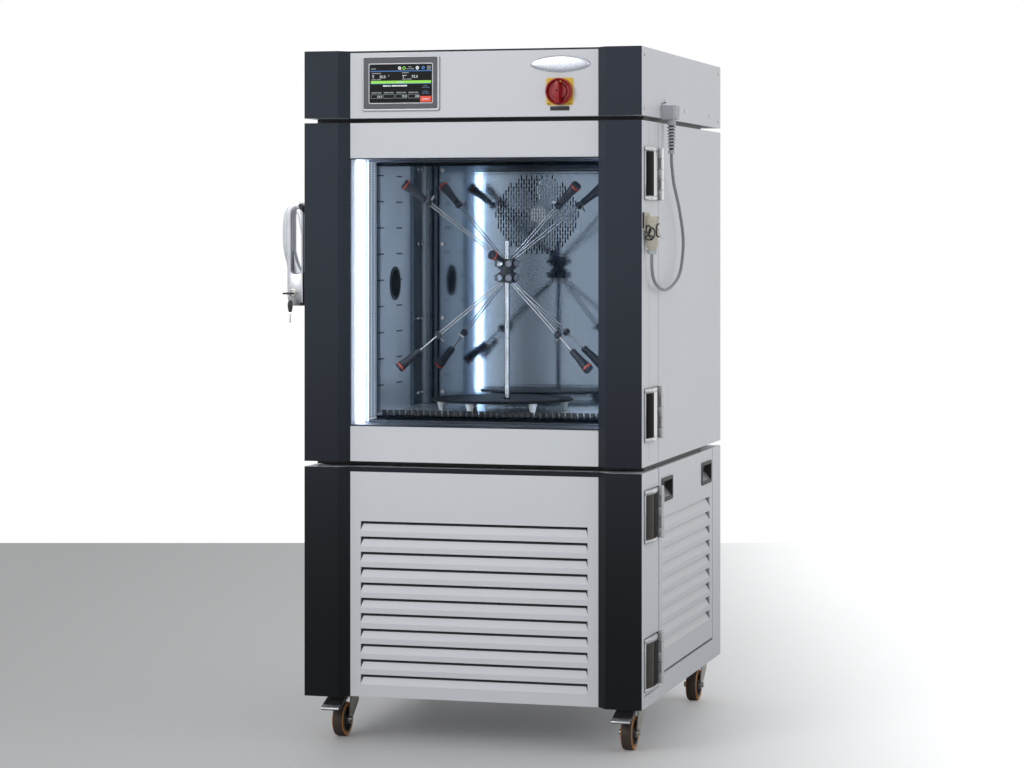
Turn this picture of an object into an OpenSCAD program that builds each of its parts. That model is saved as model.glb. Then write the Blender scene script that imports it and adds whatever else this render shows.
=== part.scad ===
// Environmental test chamber on castors: a heated and cooled test space behind a
// glazed door, a machine bay below it and a control box on top.
// X runs across the cabinet, Y from its front to its back, Z up from the floor.

/* [Cabinet] */
// Width of the cabinet
cabinet_w = 800; // [740:10:960]
// Depth of the cabinet from the front covers to the back
cabinet_d = 900; // [880:10:1100]
// Height of the machine bay
lower_h = 530; // [510:10:640]
// Gap between the machine bay and the test section
lower_gap = 13; // [10:1:20]
// Height of the test section
chamber_h = 781; // [760:1:900]
// Gap between the test section and the control box
upper_gap = 11; // [9:1:20]
// Height of the control box
control_h = 155; // [150:1:220]
// Thickness of the cover sheets
sheet = 2; // [1.5:0.5:3]
// Gap between pieces that are screwed or glued together
fit = 0.1; // [0.05:0.05:0.3]
// Gap round pieces that move
clear = 0.5; // [0.4:0.1:1.5]

/* [Front covers] */
// Width of a dark column, its outer edge included
column_w = 83; // [70:1:100]
// Width of the sloped inner side of a column
column_slope = 22; // [16:1:30]
// How far the light panel lies behind the columns
panel_in = 24; // [18:1:30]
// Thickness of a column's cover
cover_t = 5; // [3:0.5:6]
// Radius of a column's outer edge
edge_r = 4; // [2:0.5:5]
// Height of the dark strip above the light panel of the control box
control_strip = 4; // [3:1:10]
// Height of the dark strip above the light panel of the machine bay
lower_strip = 11; // [6:1:16]

/* [Doors] */
// Depth of both doors
door_d = 172; // [150:1:190]
// Thickness of the seal between a door and the cabinet
seal_t = 4; // [3:0.5:6]
// Height of the light panels above and below the window
window_margin = 81; // [60:1:100]
// Thickness of a glass pane
pane_t = 4; // [3:0.5:6]
// How far the inner glazing reaches into the test space
plug_d = 28; // [20:1:40]
// Depth of the inner glazing unit
glazing_d = 66; // [56:1:80]
// Width of a spacer bar between two panes
spacer_w = 9; // [7:1:14]
// Width of a light bar
light_w = 14; // [10:1:20]

/* [Test space] */
// Thickness of the wall beside the test space
side_wall = 108; // [90:1:130]
// Thickness of the floor below the test space
floor_wall = 100; // [80:1:120]
// Depth of the door's throat
throat_d = 34; // [30:1:50]
// Gap between the glazing and the throat
throat_gap = 7; // [5:0.5:12]
// Depth of the fan space behind the air baffle
fan_room = 140; // [130:1:180]
// Depth of the room for the fan motor behind the insulation
motor_room = 76; // [60:1:110]
// Gap beside the air baffle
baffle_gap = 39; // [30:1:60]
// Thickness of the insulation behind the test space
back_insulation = 92; // [70:1:110]
// Diameter of the fan grille
grille_d = 213; // [160:1:240]
// Pitch of the grille's slot columns
grille_pitch = 6.6; // [6.2:0.2:9]
// Distance of the fan below the ceiling of the test space
fan_down = 130; // [115:1:160]
// Bore of the cable port in the left wall
port_d = 68; // [40:1:80]
// Height of the cable port above the floor of the test space
port_z = 305; // [200:1:400]
// Distance of the cable port behind the door's seal
port_y = 176; // [120:1:250]

/* [Probe stand] */
// Diameter of the stand's post
post_d = 12; // [8:1:16]
// Length of the post above its foot plate
post_l = 378; // [340:1:420]
// Depth of the test space that the foot plate leaves free
plate_room = 40; // [40:5:120]
// Height of the probe head above the foot plate
head_up = 307; // [280:1:320]
// Diameter of the probe head
head_d = 45; // [38:1:54]
// Diameter of a probe
probe_d = 25; // [18:1:30]
// Diameter of a probe's carrying rods
rod_d = 4; // [3:0.5:5]

/* [Castors] */
// Diameter of a wheel
wheel_d = 80; // [70:5:90]
// Width of a wheel
wheel_w = 28; // [22:1:34]
// Height of the castor's head above its wheel
head_h = 30; // [28:1:40]
// Distance of the axle from the swivel
trail = 34; // [26:1:40]
// Distance of a castor from the cabinet's side
castor_side = 54; // [52:1:90]
// Distance of the front castors from the front
castor_front = 152; // [140:1:180]
// Distance of the rear castors from the back
castor_back = 36; // [36:1:80]

/* [Hinges and handle] */
// Height of a hinge
hinge_h = 120; // [90:5:140]
// Diameter of a hinge's knuckles
knuckle_d = 12; // [10:1:14]
// Diameter of a hinge pin
pin_d = 6; // [5:0.5:7]
// Height of the handle
handle_h = 242; // [220:1:280]
// Depth of the handle's grip
handle_d = 40; // [34:1:50]
// How far the handle stands out from the door
handle_reach = 80; // [76:1:95]

/* [Panels] */
// Pitch of the louvres
louvre_pitch = 35.4; // [32:0.1:42]
// Height of a louvre
louvre_h = 23; // [16:1:26]
// How deep a louvre is pressed in
louvre_in = 9; // [6:0.5:12]
// Width of the flat sheet beside the front louvres
louvre_margin = 23; // [20:1:60]
// Height of the flat sheet above the front louvres
front_flat = 102; // [60:1:140]
// Height of the flat sheet above the side louvres, with the finger pulls
side_flat = 112; // [90:1:140]
// Length of a finger pull
pull_l = 118; // [90:1:130]
// Height of a finger pull
pull_h = 55; // [45:1:65]

/* [Controls and cord] */
// Width of the display's frame
display_w = 186; // [160:1:200]
// Height of the display's frame
display_h = 122; // [100:1:130]
// Side of the main switch's plate
switch_w = 62; // [50:1:70]
// Diameter of the lead to the door
cord_d = 7.2; // [6:0.1:9]

/* [Hidden] */
$fn = 48;
half_w = cabinet_w / 2;
wheel_r = wheel_d / 2;
z_low = wheel_d + head_h;
z_deck = z_low + lower_h;
z_mid = z_deck + lower_gap;
z_roof = z_mid + chamber_h;
z_box = z_roof + upper_gap;
z_top = z_box + control_h;
body_y = door_d + seal_t;
foot_x = half_w - column_w - column_slope;
slope_back = cover_t * sqrt(1 + pow(panel_in / column_slope, 2));
window_z0 = z_mid + window_margin;
window_z1 = z_roof - window_margin;
light_d = door_d + plug_d - glazing_d;
plug_x = foot_x - 2;
throat_x = plug_x + throat_gap;
throat_z0 = window_z0 + 2 - throat_gap;
throat_z1 = window_z1 - 2 + throat_gap;
space_x = half_w - side_wall;
space_z1 = throat_z1 - 3;
space_z0 = z_mid + floor_wall;
space_y0 = body_y + throat_d;
motor_y = cabinet_d - motor_room;
space_y1 = motor_y - back_insulation - sheet;
baffle_at = space_y1 - fan_room;
fan_at = space_z1 - fan_down;
castor_x = half_w - castor_side;
blade_r = grille_d / 2 - 8;
shaft_r = 6;
running = 0.05;
motor_d = 110;
heater_r = blade_r + 22;
port_at = [body_y + port_y, space_z0 + port_z];
port_wall = 3;

foot_plate_d = baffle_at - space_y0 - plate_room;
plate_at = [-30, space_y0 + foot_plate_d / 2 + 5];
post_at = [-8, plate_at.y - 40];
feet_h = 22;
plate_t = 8;
plate_top = space_z0 + feet_h + plate_t;
head_at = plate_top + head_up;
head_h2 = 57;

base_front_h = 26;
rail_h = 50;
rail_w = 40;
base_setback = panel_in + slope_back + 2.6;
post_w = 60;
post_l2 = 100;
front_post_d = 30;
side_z0 = z_low + rail_h + 6;
side_y1 = cabinet_d - post_l2 - 5;

race_h = 10;
fork_h = 8;
fork_gap = 2.5;
fork_t = 3;
axle_r = 4;
pedal_y = -66;
pedal_z = z_low - race_h - 5;

axis_x = half_w + 7;
axis_y = body_y + 2;
side_y0 = axis_y + knuckle_d / 2 + 1;
door_hinge_z = [z_mid + 56, z_roof - 59 - hinge_h];
lower_hinge_z = [z_low + 36, z_deck - 40 - hinge_h];
leaf_t = 3;

handle_z = z_mid + 357;
handle_y = 60;
base_reach = 24;
grip_axis = [-half_w - base_reach - 3, handle_y + 4];
lock_h = 74;
face_reach = 66;
grip_w = 12;

outlet_at = [half_w + 21, 220];
outlet_reach = 36;
relief_z = [z_roof - 71, z_box - 3];
connector_y = 40;
connector_z = door_hinge_z[1] - 113;

// The frame's origin is on the floor, below the middle of the whole object
shift_x = (handle_reach - outlet_reach) / 2;
shift_y = -cabinet_d / 2;

module placed() { translate([shift_x, shift_y, 0]) children(); }
module block(lo, hi) { translate(lo) cube(hi - lo); }
module both_sides() {
    children();
    mirror([1, 0, 0]) children();
}
// Outline in Y and Z, drawn out along X
module along_x(x0, x1) { translate([x0, 0, 0]) rotate([90, 0, 90]) linear_extrude(x1 - x0) children(); }
// Outline in X and Z, drawn out along Y
module along_y(y0, y1) { translate([0, y1, 0]) rotate([90, 0, 0]) linear_extrude(y1 - y0) children(); }
module along_z(z0, z1) { translate([0, 0, z0]) linear_extrude(z1 - z0) children(); }
module rod_x(x0, x1, r) { translate([x0, 0, 0]) rotate([0, 90, 0]) cylinder(h = x1 - x0, r = r); }
module rod_y(y0, y1, r) { translate([0, y1, 0]) rotate([90, 0, 0]) cylinder(h = y1 - y0, r = r); }
module rod_z(z0, z1, r) { translate([0, 0, z0]) cylinder(h = z1 - z0, r = r); }
module round_rect(w, h, r) {
    square([w - 2 * r, h], center = true);
    square([w, h - 2 * r], center = true);
    for (sx = [-1, 1], sy = [-1, 1]) translate([sx * (w / 2 - r), sy * (h / 2 - r)]) circle(r);
}
module slot(w, h) {
    square([w - h, h], center = true);
    for (sx = [-1, 1]) translate([sx * (w - h) / 2, 0]) circle(h / 2);
}

// Front covers: plan of the right-hand dark column and of the casing behind it
module column_plan() {
    polygon([
        [foot_x, panel_in], [foot_x + column_slope, 0], [half_w - edge_r, 0],
        [half_w - edge_r, edge_r], [half_w, edge_r], [half_w, cover_t],
        [foot_x + (panel_in + slope_back - cover_t) * column_slope / panel_in, cover_t],
        [foot_x, panel_in + slope_back]
    ]);
    intersection() {
        translate([half_w - edge_r, edge_r]) circle(edge_r);
        translate([half_w - edge_r, 0]) square(edge_r);
    }
}
module casing_plan(depth) {
    polygon([
        [foot_x, panel_in + slope_back + fit],
        [foot_x + (panel_in + slope_back - cover_t) * column_slope / panel_in, cover_t + fit],
        [half_w, cover_t + fit], [half_w, depth], [foot_x, depth]
    ]);
}
// Room inside that casing, its walls left at d
module casing_room(d, depth) {
    y = panel_in + slope_back + fit + d;
    translate([foot_x + d, y]) square([half_w - foot_x - 2 * d, depth - d - y]);
    x = foot_x + column_slope + 4 + d;
    translate([x, cover_t + fit + d]) square([half_w - d - x, y + 1 - cover_t - fit - d]);
}
module columns(z0, z1) { both_sides() along_z(z0, z1) column_plan(); }

// One pressed louvre: the sheet slopes in from its foot and leaves a slot at its head
module louvre_cut(l) { block([-l / 2, -1, 0], [l / 2, sheet + 1, louvre_h]); }
module louvre(l) {
    along_x(-l / 2, l / 2)
        polygon([[0, 0], [sheet, 0], [louvre_in + sheet, louvre_h], [louvre_in, louvre_h]]);
    for (x0 = [-l / 2, l / 2 - sheet])
        along_x(x0, x0 + sheet) polygon([[0, 0], [louvre_in + sheet, louvre_h], [0, louvre_h]]);
}
module louvred_sheet(w, h, l, first, flat) {
    last = floor((h - first - louvre_h - flat) / louvre_pitch);
    difference() {
        block([-w / 2, 0, 0], [w / 2, sheet, h]);
        for (i = [0 : last]) translate([0, 0, first + i * louvre_pitch]) louvre_cut(l);
        children();
    }
    for (i = [0 : last]) translate([0, 0, first + i * louvre_pitch]) louvre(l);
}

// Machine bay
module castor_spots() {
    for (sx = [-1, 1], y = [castor_front, cabinet_d - castor_back]) translate([sx * castor_x, y, 0]) children();
}
module base_frame() placed() {
    color("gainsboro") difference() {
        block([-half_w, base_setback, z_low], [half_w, cabinet_d, z_low + rail_h]);
        block([rail_w - half_w, body_y + rail_w, z_low + sheet],
            [half_w - rail_w, cabinet_d - rail_w, z_low + rail_h + 1]);
        block([-half_w - 1, base_setback - 1, z_low + base_front_h], [half_w + 1, body_y, z_low + rail_h + 1]);
        block([sheet - half_w, base_setback + sheet, z_low + sheet],
            [half_w - sheet, body_y + rail_w - sheet, z_low + base_front_h - sheet]);
        both_sides() block([half_w - rail_w + sheet, body_y + sheet, z_low + sheet],
            [half_w - sheet, cabinet_d - sheet, z_low + rail_h - sheet]);
        block([rail_w - half_w - 1, cabinet_d - rail_w + sheet, z_low + sheet],
            [half_w - rail_w + 1, cabinet_d - sheet, z_low + rail_h - sheet]);
    }
    color("silver") castor_spots() {
        along_z(z_low - 4, z_low - fit) round_rect(90, 68, 6);
        rod_z(z_low - race_h, z_low - 4, 30);
        rod_z(z_low - race_h - fork_h, z_low - race_h, shaft_r);
    }
}
module lower_frame() placed() color("gainsboro") {
    top = z_deck - 4;
    foot = z_low + rail_h + fit;
    both_sides() {
        block([half_w - rail_w - 2, body_y, foot], [half_w - sheet - fit, body_y + front_post_d, top]);
        difference() {
            block([half_w - post_w, cabinet_d - post_l2, foot], [half_w, cabinet_d, z_deck]);
            block([half_w - post_w + sheet, cabinet_d - post_l2 + sheet, foot + sheet],
                [half_w - sheet, cabinet_d - sheet, top]);
        }
    }
    block([-half_w + sheet + fit, body_y, top], [half_w - sheet - fit, cabinet_d - post_l2, z_deck]);
    block([post_w - half_w, cabinet_d - post_l2, top], [half_w - post_w, cabinet_d, z_deck]);
}
module spacer_plinths() placed() color("black") {
    inset = 10;
    tongue = 66;
    x = half_w - inset;
    block([-x, body_y, z_deck + fit], [x, cabinet_d - 200, z_mid - fit]);
    block([-x, tongue, z_deck + 2.5], [x, body_y, z_mid - 2.5]);
    block([-x, body_y, z_roof + fit], [x, cabinet_d - 200, z_box - fit]);
    block([-x, tongue, z_roof + 2.5], [x, body_y, z_box - fit]);
}
module rear_panel() placed() color("gainsboro") {
    x = half_w - post_w - fit;
    z0 = z_low + rail_h + fit;
    difference() {
        block([-x, cabinet_d - sheet - 1, z0], [x, cabinet_d - 1, z_deck - 4 - fit]);
        for (i = [0 : 9], sx = [-1, 1])
            translate([sx * x / 2, 0, z0 + 60 + 36 * i]) along_y(cabinet_d - 9, cabinet_d + 1) slot(x - 80, 10);
    }
}
module finger_pull() {
    difference() {
        union() {
            along_y(-2, -fit) round_rect(pull_l, pull_h, 6);
            along_y(-fit, 16) round_rect(pull_l - 12, pull_h - 12, 4);
        }
        along_y(-3, 14) round_rect(pull_l - 16, pull_h - 16, 3);
    }
}
module side_panel() {
    w = side_y1 - side_y0;
    h = z_deck - side_z0;
    pull_z = h - 55;
    pull_x = [81 - w / 2, w / 2 - 75];
    color("gainsboro") louvred_sheet(w, h, w - 61, 50, side_flat)
        for (x = pull_x) translate([x, 0, pull_z])
            along_y(-1, sheet + 1) round_rect(pull_l - 11, pull_h - 11, 4);
    color("black") for (x = pull_x) translate([x, 0, pull_z]) finger_pull();
}
module right_side_panel() placed()
    translate([half_w, (side_y0 + side_y1) / 2, side_z0]) rotate([0, 0, 90]) side_panel();
module left_side_panel() placed()
    translate([-half_w, (side_y0 + side_y1) / 2, side_z0]) rotate([0, 0, -90]) mirror([1, 0, 0]) side_panel();
module compressor() placed() {
    z0 = z_low + sheet + fit;
    color("black") translate([-170, cabinet_d - 270, 0]) {
        along_z(z0, z0 + 6) round_rect(220, 180, 10);
        rod_z(z0 + 6, z0 + 190, 82);
        translate([0, 0, z0 + 190]) scale([1, 1, 0.5]) sphere(r = 82);
    }
    color("steelblue") translate([60, cabinet_d - 250, 0]) {
        rod_z(z0, z0 + 8, 62);
        rod_z(z0 + 8, z0 + 250, 56);
    }
}
module condenser() placed() {
    y0 = body_y + rail_w + 20;
    z0 = z_low + sheet + fit;
    h = 330;
    w = 2 * (half_w - 165);
    hole_r = h / 2 - 15;
    color("silver") {
        block([-w / 2, y0, z0], [w / 2, y0 + 66, z0 + 12]);
        difference() {
            block([-w / 2, y0, z0 + 12], [w / 2, y0 + 60, z0 + h]);
            for (i = [0 : floor((w - 24) / 16)])
                block([-w / 2 + 12 + 16 * i, y0 - 1, z0 + 24], [-w / 2 + 24 + 16 * i, y0 + 28, z0 + h - 12]);
            translate([0, 0, z0 + h / 2]) rod_y(y0 + 27, y0 + 61, hole_r);
        }
    }
    color("dimgray") {
        translate([0, 0, z0 + h / 2]) difference() {
            rod_y(y0 + 70, y0 + 130, 42);
            rod_y(y0 + 69, y0 + 91, 4 + running);
        }
        for (a = [0 : 90 : 270]) translate([0, 0, z0 + h / 2]) rotate([0, a + 45, 0])
            block([30, y0 + 60 + fit, -8], [hole_r + 20, y0 + 74, 8]);
    }
}
module condenser_fan() placed() color("black") {
    y0 = body_y + rail_w + 20;
    translate([0, 0, z_low + sheet + fit + 165]) {
        rod_y(y0 + 34, y0 + 69.5, 26);
        rod_y(y0 + 69, y0 + 90, 4);
        for (a = [0 : 72 : 288]) rotate([0, a, 0]) translate([82, y0 + 46, 0]) rotate([24, 0, 0])
            cube([116, 2.5, 48], center = true);
    }
}

// Castors
module wheel() translate([0, -trail, wheel_r]) {
    color("goldenrod") rotate([0, 90, 0]) rotate_extrude() translate([wheel_r - 4, 0]) round_rect(8, wheel_w, 3);
    color("dimgray") difference() {
        union() {
            rotate([0, 90, 0]) rotate_extrude() translate([wheel_r - 11 - fit, 0]) square([6, wheel_w - 4], center = true);
            rod_x(-wheel_w / 2 - 1, wheel_w / 2 + 1, 11);
            for (a = [0 : 60 : 300]) rotate([a, 0, 0]) block([-8, 9, -2.5], [8, wheel_r - 12, 2.5]);
        }
        rod_x(-wheel_w, wheel_w, axle_r + running);
    }
}
module fork() color("silver") {
    z1 = z_low - race_h - clear;
    x0 = wheel_w / 2 + fork_gap;
    difference() {
        union() {
            rod_z(z1 - fork_h / 2, z1, 33);
            block([-x0 - fork_t, pedal_y + 5, z1 - fork_h], [x0 + fork_t, 28, z1 - fork_h / 2]);
            block([-11, pedal_y, z1 - fork_h], [11, pedal_y + 6, z1 - fork_h / 2]);
            translate([0, pedal_y, pedal_z]) rod_x(-11, 11, 3.5);
        }
        rod_z(z1 - fork_h - 1, z1 + 1, shaft_r + running);
    }
    translate([0, pedal_y, pedal_z]) rod_x(-21, 21, 2);
    both_sides() along_x(x0, x0 + fork_t) {
        polygon([[-26, z1 - fork_h / 2], [28, z1 - fork_h / 2], [30, z1 - 24], [-trail + 9, wheel_r - 6],
            [-trail - 9, wheel_r - 2]]);
        translate([-trail, wheel_r]) circle(11);
    }
    translate([0, -trail, wheel_r]) {
        rod_x(-x0 - 1, x0 + 1, axle_r);
        both_sides() rod_x(x0 + fork_t, x0 + fork_t + 5, 6.5);
    }
}
module pedal() translate([0, pedal_y, pedal_z]) color("dimgray") difference() {
    along_x(-22, 22) {
        circle(3.5);
        polygon([[0, 3], [0, -3], [-10, -8], [-56, -22], [-60, -18], [-58, -14], [-12, 2]]);
    }
    block([-11.5, -5, -5], [11.5, 5, 5]);
    rod_x(-23, 23, 2 + running);
}
module fork_at(sx, y) placed() translate([sx * castor_x, y, 0]) fork();
module wheel_at(sx, y) placed() translate([sx * castor_x, y, 0]) wheel();
module castor_fork_fl() fork_at(-1, castor_front);
module castor_fork_fr() fork_at(1, castor_front);
module castor_fork_rl() fork_at(-1, cabinet_d - castor_back);
module castor_fork_rr() fork_at(1, cabinet_d - castor_back);
module castor_wheel_fl() wheel_at(-1, castor_front);
module castor_wheel_fr() wheel_at(1, castor_front);
module castor_wheel_rl() wheel_at(-1, cabinet_d - castor_back);
module castor_wheel_rr() wheel_at(1, cabinet_d - castor_back);
module brake_pedal_fl() placed() translate([-castor_x, castor_front, 0]) pedal();
module brake_pedal_fr() placed() translate([castor_x, castor_front, 0]) pedal();

// Lower door
module lower_columns() placed() color("darkslategray") {
    columns(z_low, z_deck);
    block([-foot_x, panel_in, z_deck - lower_strip], [foot_x, panel_in + slope_back, z_deck]);
}
module lower_front_panel() placed() color("gainsboro") {
    top = z_deck - lower_strip - fit;
    translate([0, panel_in, z_low])
        louvred_sheet(2 * (foot_x - fit), top - z_low, 2 * (foot_x - louvre_margin), 28, front_flat);
}
module lower_door_casing() placed() color("gainsboro") {
    z0 = z_low + base_front_h + 2;
    inner = foot_x - 20;
    rail_y = max(panel_in + slope_back + fit, panel_in + louvre_in + sheet + clear);
    difference() {
        union() {
            both_sides() along_z(z0, z_deck) casing_plan(door_d);
            block([-foot_x - 1, rail_y, z0], [foot_x + 1, door_d, z_deck]);
        }
        block([-inner, panel_in, z0 + 20], [inner, door_d + 1, z_deck - 20]);
        both_sides() along_z(z0 + sheet, z_deck - sheet) casing_room(sheet, door_d);
        for (z = [z0, z_deck - 20])
            block([-foot_x, rail_y + sheet, z + sheet], [foot_x, door_d - sheet, z + 20 - sheet]);
        both_sides() block([inner + sheet, rail_y + sheet, z0 + sheet],
            [foot_x + sheet + 1, door_d - sheet, z_deck - sheet]);
    }
    both_sides() along_z(z_low, z0) intersection() {
        casing_plan(door_d);
        translate([foot_x, 0]) square([200, base_setback - 2]);
    }
}

// Hinges: knuckles 1, 3 and 5 belong to the door, 2 and 4 and the pin to the cabinet
knuckle_h = hinge_h / 5;
module knuckle(i, r) { rod_z(i * knuckle_h + clear / 2, (i + 1) * knuckle_h - clear / 2, r); }
module door_leaf() {
    difference() {
        union() {
            block([half_w + fit, 21, 0], [half_w + leaf_t, axis_y - 14, hinge_h]);
            for (i = [0, 2, 4]) {
                translate([axis_x, axis_y, 0]) knuckle(i, knuckle_d / 2);
                translate([0, 0, i * knuckle_h + clear / 2])
                    block([half_w + fit, axis_y - 15, 0], [half_w + leaf_t, axis_y, knuckle_h - clear]);
            }
            along_z(6, hinge_h - 6) polygon([[half_w + 1, 28], [half_w + 5, 28], [half_w + 13, 72],
                [half_w + 13, 96], [half_w + 6, 138], [half_w + 1, 138]]);
        }
        translate([axis_x, axis_y, 0]) rod_z(-1, hinge_h + 1, pin_d / 2 + running);
    }
}
module cabinet_leaf() {
    block([half_w - 60, body_y - leaf_t, 0], [half_w - 1, body_y - fit, hinge_h]);
    for (i = [1, 3]) {
        translate([axis_x, axis_y, 0]) knuckle(i, knuckle_d / 2);
        translate([0, 0, i * knuckle_h + clear / 2])
            block([half_w - 2, body_y - leaf_t, 0], [axis_x - 2, body_y - fit, knuckle_h - clear]);
    }
    translate([axis_x, axis_y, 0]) rod_z(0, hinge_h, pin_d / 2);
}
module cabinet_hinges() placed() color("silver")
    for (z = concat(door_hinge_z, lower_hinge_z)) translate([0, 0, z]) cabinet_leaf();
module door_hinges() placed() color("silver") for (z = door_hinge_z) translate([0, 0, z]) door_leaf();
module lower_door_hinges() placed() color("silver") for (z = lower_hinge_z) translate([0, 0, z]) door_leaf();

// Test section
module chamber_shell() placed() color("gainsboro") difference() {
    block([-half_w, body_y, z_mid], [half_w, cabinet_d, z_roof]);
    block([sheet - half_w, body_y + sheet, z_mid + sheet], [half_w - sheet, cabinet_d - sheet, z_roof - sheet]);
    block([-throat_x - sheet - fit, body_y - 1, throat_z0 - sheet - fit],
        [throat_x + sheet + fit, body_y + sheet + 1, throat_z1 + sheet + fit]);
    translate([0, port_at.x, port_at.y]) rod_x(-half_w - 1, -half_w + 2 * sheet, port_d / 2 + port_wall + fit);
}
module throat_box(grow, y0, y1) {
    block([-throat_x - grow, y0, throat_z0 - grow], [throat_x + grow, y1, throat_z1 + grow]);
}
module space_box(grow, y0, y1) {
    block([-space_x - grow, y0, space_z0 - grow], [space_x + grow, y1, space_z1 + grow]);
}
module liner() placed() color("lightgray") difference() {
    union() {
        throat_box(sheet, body_y, space_y0 + sheet);
        space_box(sheet, space_y0, space_y1 + sheet);
    }
    throat_box(0, body_y - 1, space_y0);
    space_box(0, space_y0 - 1, space_y1);
    translate([0, port_at.x, port_at.y]) rod_x(-half_w, -space_x + 1, port_d / 2 + port_wall + fit);
    translate([0, 0, fan_at]) rod_y(space_y1 - 1, space_y1 + 2 * sheet, shaft_r + clear);
}
module insulation() placed() color("khaki") difference() {
    block([sheet + fit - half_w, body_y + sheet + fit, z_mid + sheet + fit],
        [half_w - sheet - fit, motor_y, z_roof - sheet - fit]);
    throat_box(sheet + fit, body_y, space_y0 + sheet + fit);
    space_box(sheet + fit, space_y0 - fit, space_y1 + sheet + fit);
    translate([0, port_at.x, port_at.y]) rod_x(-half_w, 0, port_d / 2 + port_wall + fit);
    translate([0, 0, fan_at]) rod_y(space_y1, motor_y + 1, shaft_r + clear);
}
module port_sleeve() placed() color("dimgray") translate([0, port_at.x, port_at.y]) difference() {
    union() {
        rod_x(-half_w - 3, -space_x + 2, port_d / 2 + port_wall);
        rod_x(-half_w - 3, -half_w - fit, port_d / 2 + 13);
        rod_x(-space_x + fit, -space_x + 2, port_d / 2 + 7);
    }
    rod_x(-half_w - 4, -space_x + 3, port_d / 2);
}
module air_baffle() placed() color("silver") {
    x = space_x - baffle_gap;
    slot = 3.4;
    slot_h = 15;
    row = slot_h + 3;
    r = grille_d / 2;
    cols = floor(r / grille_pitch);
    difference() {
        union() {
            block([-x, baffle_at, space_z0 + fit], [x, baffle_at + sheet, space_z1 - fit]);
            both_sides() block([x - sheet, baffle_at, space_z0 + fit], [x, baffle_at + 24, space_z1 - fit]);
        }
        translate([0, 0, fan_at]) for (c = [-cols : cols]) {
            reach = sqrt(pow(r, 2) - pow(c * grille_pitch, 2));
            off = (abs(c) % 2) * row / 2;
            for (k = [-7 : 7]) if (abs(k * row + off) + slot_h / 2 < reach)
                translate([c * grille_pitch - slot / 2, baffle_at - 1, k * row + off - slot_h / 2])
                    cube([slot, sheet + 2, slot_h]);
        }
    }
}
module fan_rotor() placed() color("lightgray") translate([0, 0, fan_at]) {
    rod_y(baffle_at + 14, baffle_at + 46, 22);
    rod_y(baffle_at + 40, motor_y + 20, shaft_r);
    for (a = [18 : 72 : 306]) rotate([0, a, 0]) translate([0, baffle_at + 31, 0]) rotate([0, 0, 28])
        rotate([90, 0, 0]) translate([0, 0, -1]) linear_extrude(2) {
            translate([-17, 18]) square([34, blade_r - 50]);
            translate([0, blade_r - 32]) circle(30);
        }
}
module fan_motor() placed() color("dimgray") translate([0, 0, fan_at]) difference() {
    union() {
        rod_y(motor_y + fit, motor_y + 5, motor_d / 2 + 20);
        rod_y(motor_y + 5, cabinet_d - sheet - 8, motor_d / 2);
    }
    rod_y(motor_y - 1, motor_y + 24, shaft_r + running);
}
module heater() placed() color("gray") translate([0, 0, fan_at]) {
    for (y = [baffle_at + 60, baffle_at + 82, baffle_at + 104]) translate([0, y, 0]) rotate([90, 0, 0])
        rotate_extrude($fn = 96) translate([heater_r, 0]) circle(4);
    both_sides() translate([heater_r, 0, 0]) rod_y(baffle_at + 56, space_y1 - fit, 3);
}
module evaporator() placed() {
    y0 = baffle_at + 36;
    d = 80;
    z0 = space_z0 + 12;
    z1 = fan_at - heater_r - 89.5;
    x = space_x - 87;
    color("silver") {
        both_sides() block([x - 1, y0, space_z0 + fit], [x + 1, y0 + d, z1]);
        for (i = [0 : floor(2 * (x - 12) / 16)])
            block([12 - x + 16 * i, y0 + 2, z0], [13 - x + 16 * i, y0 + d - 2, z1 - 2]);
    }
    color("peru") for (y = [y0 + 22, y0 + d - 22], z = [z0 + 30 : 48 : z1 - 20])
        translate([0, y, z]) rod_x(-x - 7, x + 7, 5);
}

// Door
module door_columns() placed() color("darkslategray") columns(z_mid, z_roof);
module door_front_panel() placed() color("gainsboro") {
    x = foot_x - fit;
    block([-x, panel_in, window_z1 + fit], [x, panel_in + sheet, z_roof]);
    block([-x, panel_in, z_mid], [x, panel_in + sheet, window_z0 - fit]);
}
module door_casing() placed() color("gainsboro") difference() {
    union() {
        both_sides() along_z(z_mid, z_roof) casing_plan(door_d);
        for (z = [[z_mid, window_z0], [window_z1, z_roof]])
            block([-foot_x - 1, panel_in + slope_back + fit, z[0]], [foot_x + 1, door_d, z[1]]);
    }
    door_room(sheet);
}
// Room inside the door's casing, filled with foam
module door_room(d) {
    both_sides() along_z(z_mid + d, z_roof - d) casing_room(d, door_d);
    for (z = [[z_mid, window_z0], [window_z1, z_roof]])
        block([-foot_x - d - 1, panel_in + slope_back + fit + d, z[0] + d], [foot_x + d + 1, door_d - d, z[1] - d]);
}
module door_foam() placed() color("khaki") door_room(sheet + fit);
module pane(y, edge) {
    block([edge - foot_x, y, window_z0 + edge], [foot_x - edge, y + pane_t, window_z1 - edge]);
}
inner_panes = [for (i = [0 : 3]) light_d + i * (glazing_d - pane_t) / 3];
module door_glass() placed() color("lightblue", 0.35) {
    pane(panel_in, fit);
    for (y = inner_panes) pane(y, 2);
}
module pane_spacers() placed() color("silver") {
    x = foot_x - 2;
    z0 = window_z0 + 2;
    z1 = window_z1 - 2;
    for (i = [0 : 2]) {
        y0 = inner_panes[i] + pane_t + fit;
        y1 = inner_panes[i + 1] - fit;
        difference() {
            block([-x, y0, z0], [x, y1, z1]);
            block([spacer_w - x, y0 - 1, z0 + spacer_w], [x - spacer_w, y1 + 1, z1 - spacer_w]);
        }
    }
}
module light_bars() placed() color("white") both_sides()
    block([foot_x - light_w, panel_in + 40, window_z0 + 6], [foot_x - fit, light_d - 8, window_z1 - 6]);
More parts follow.
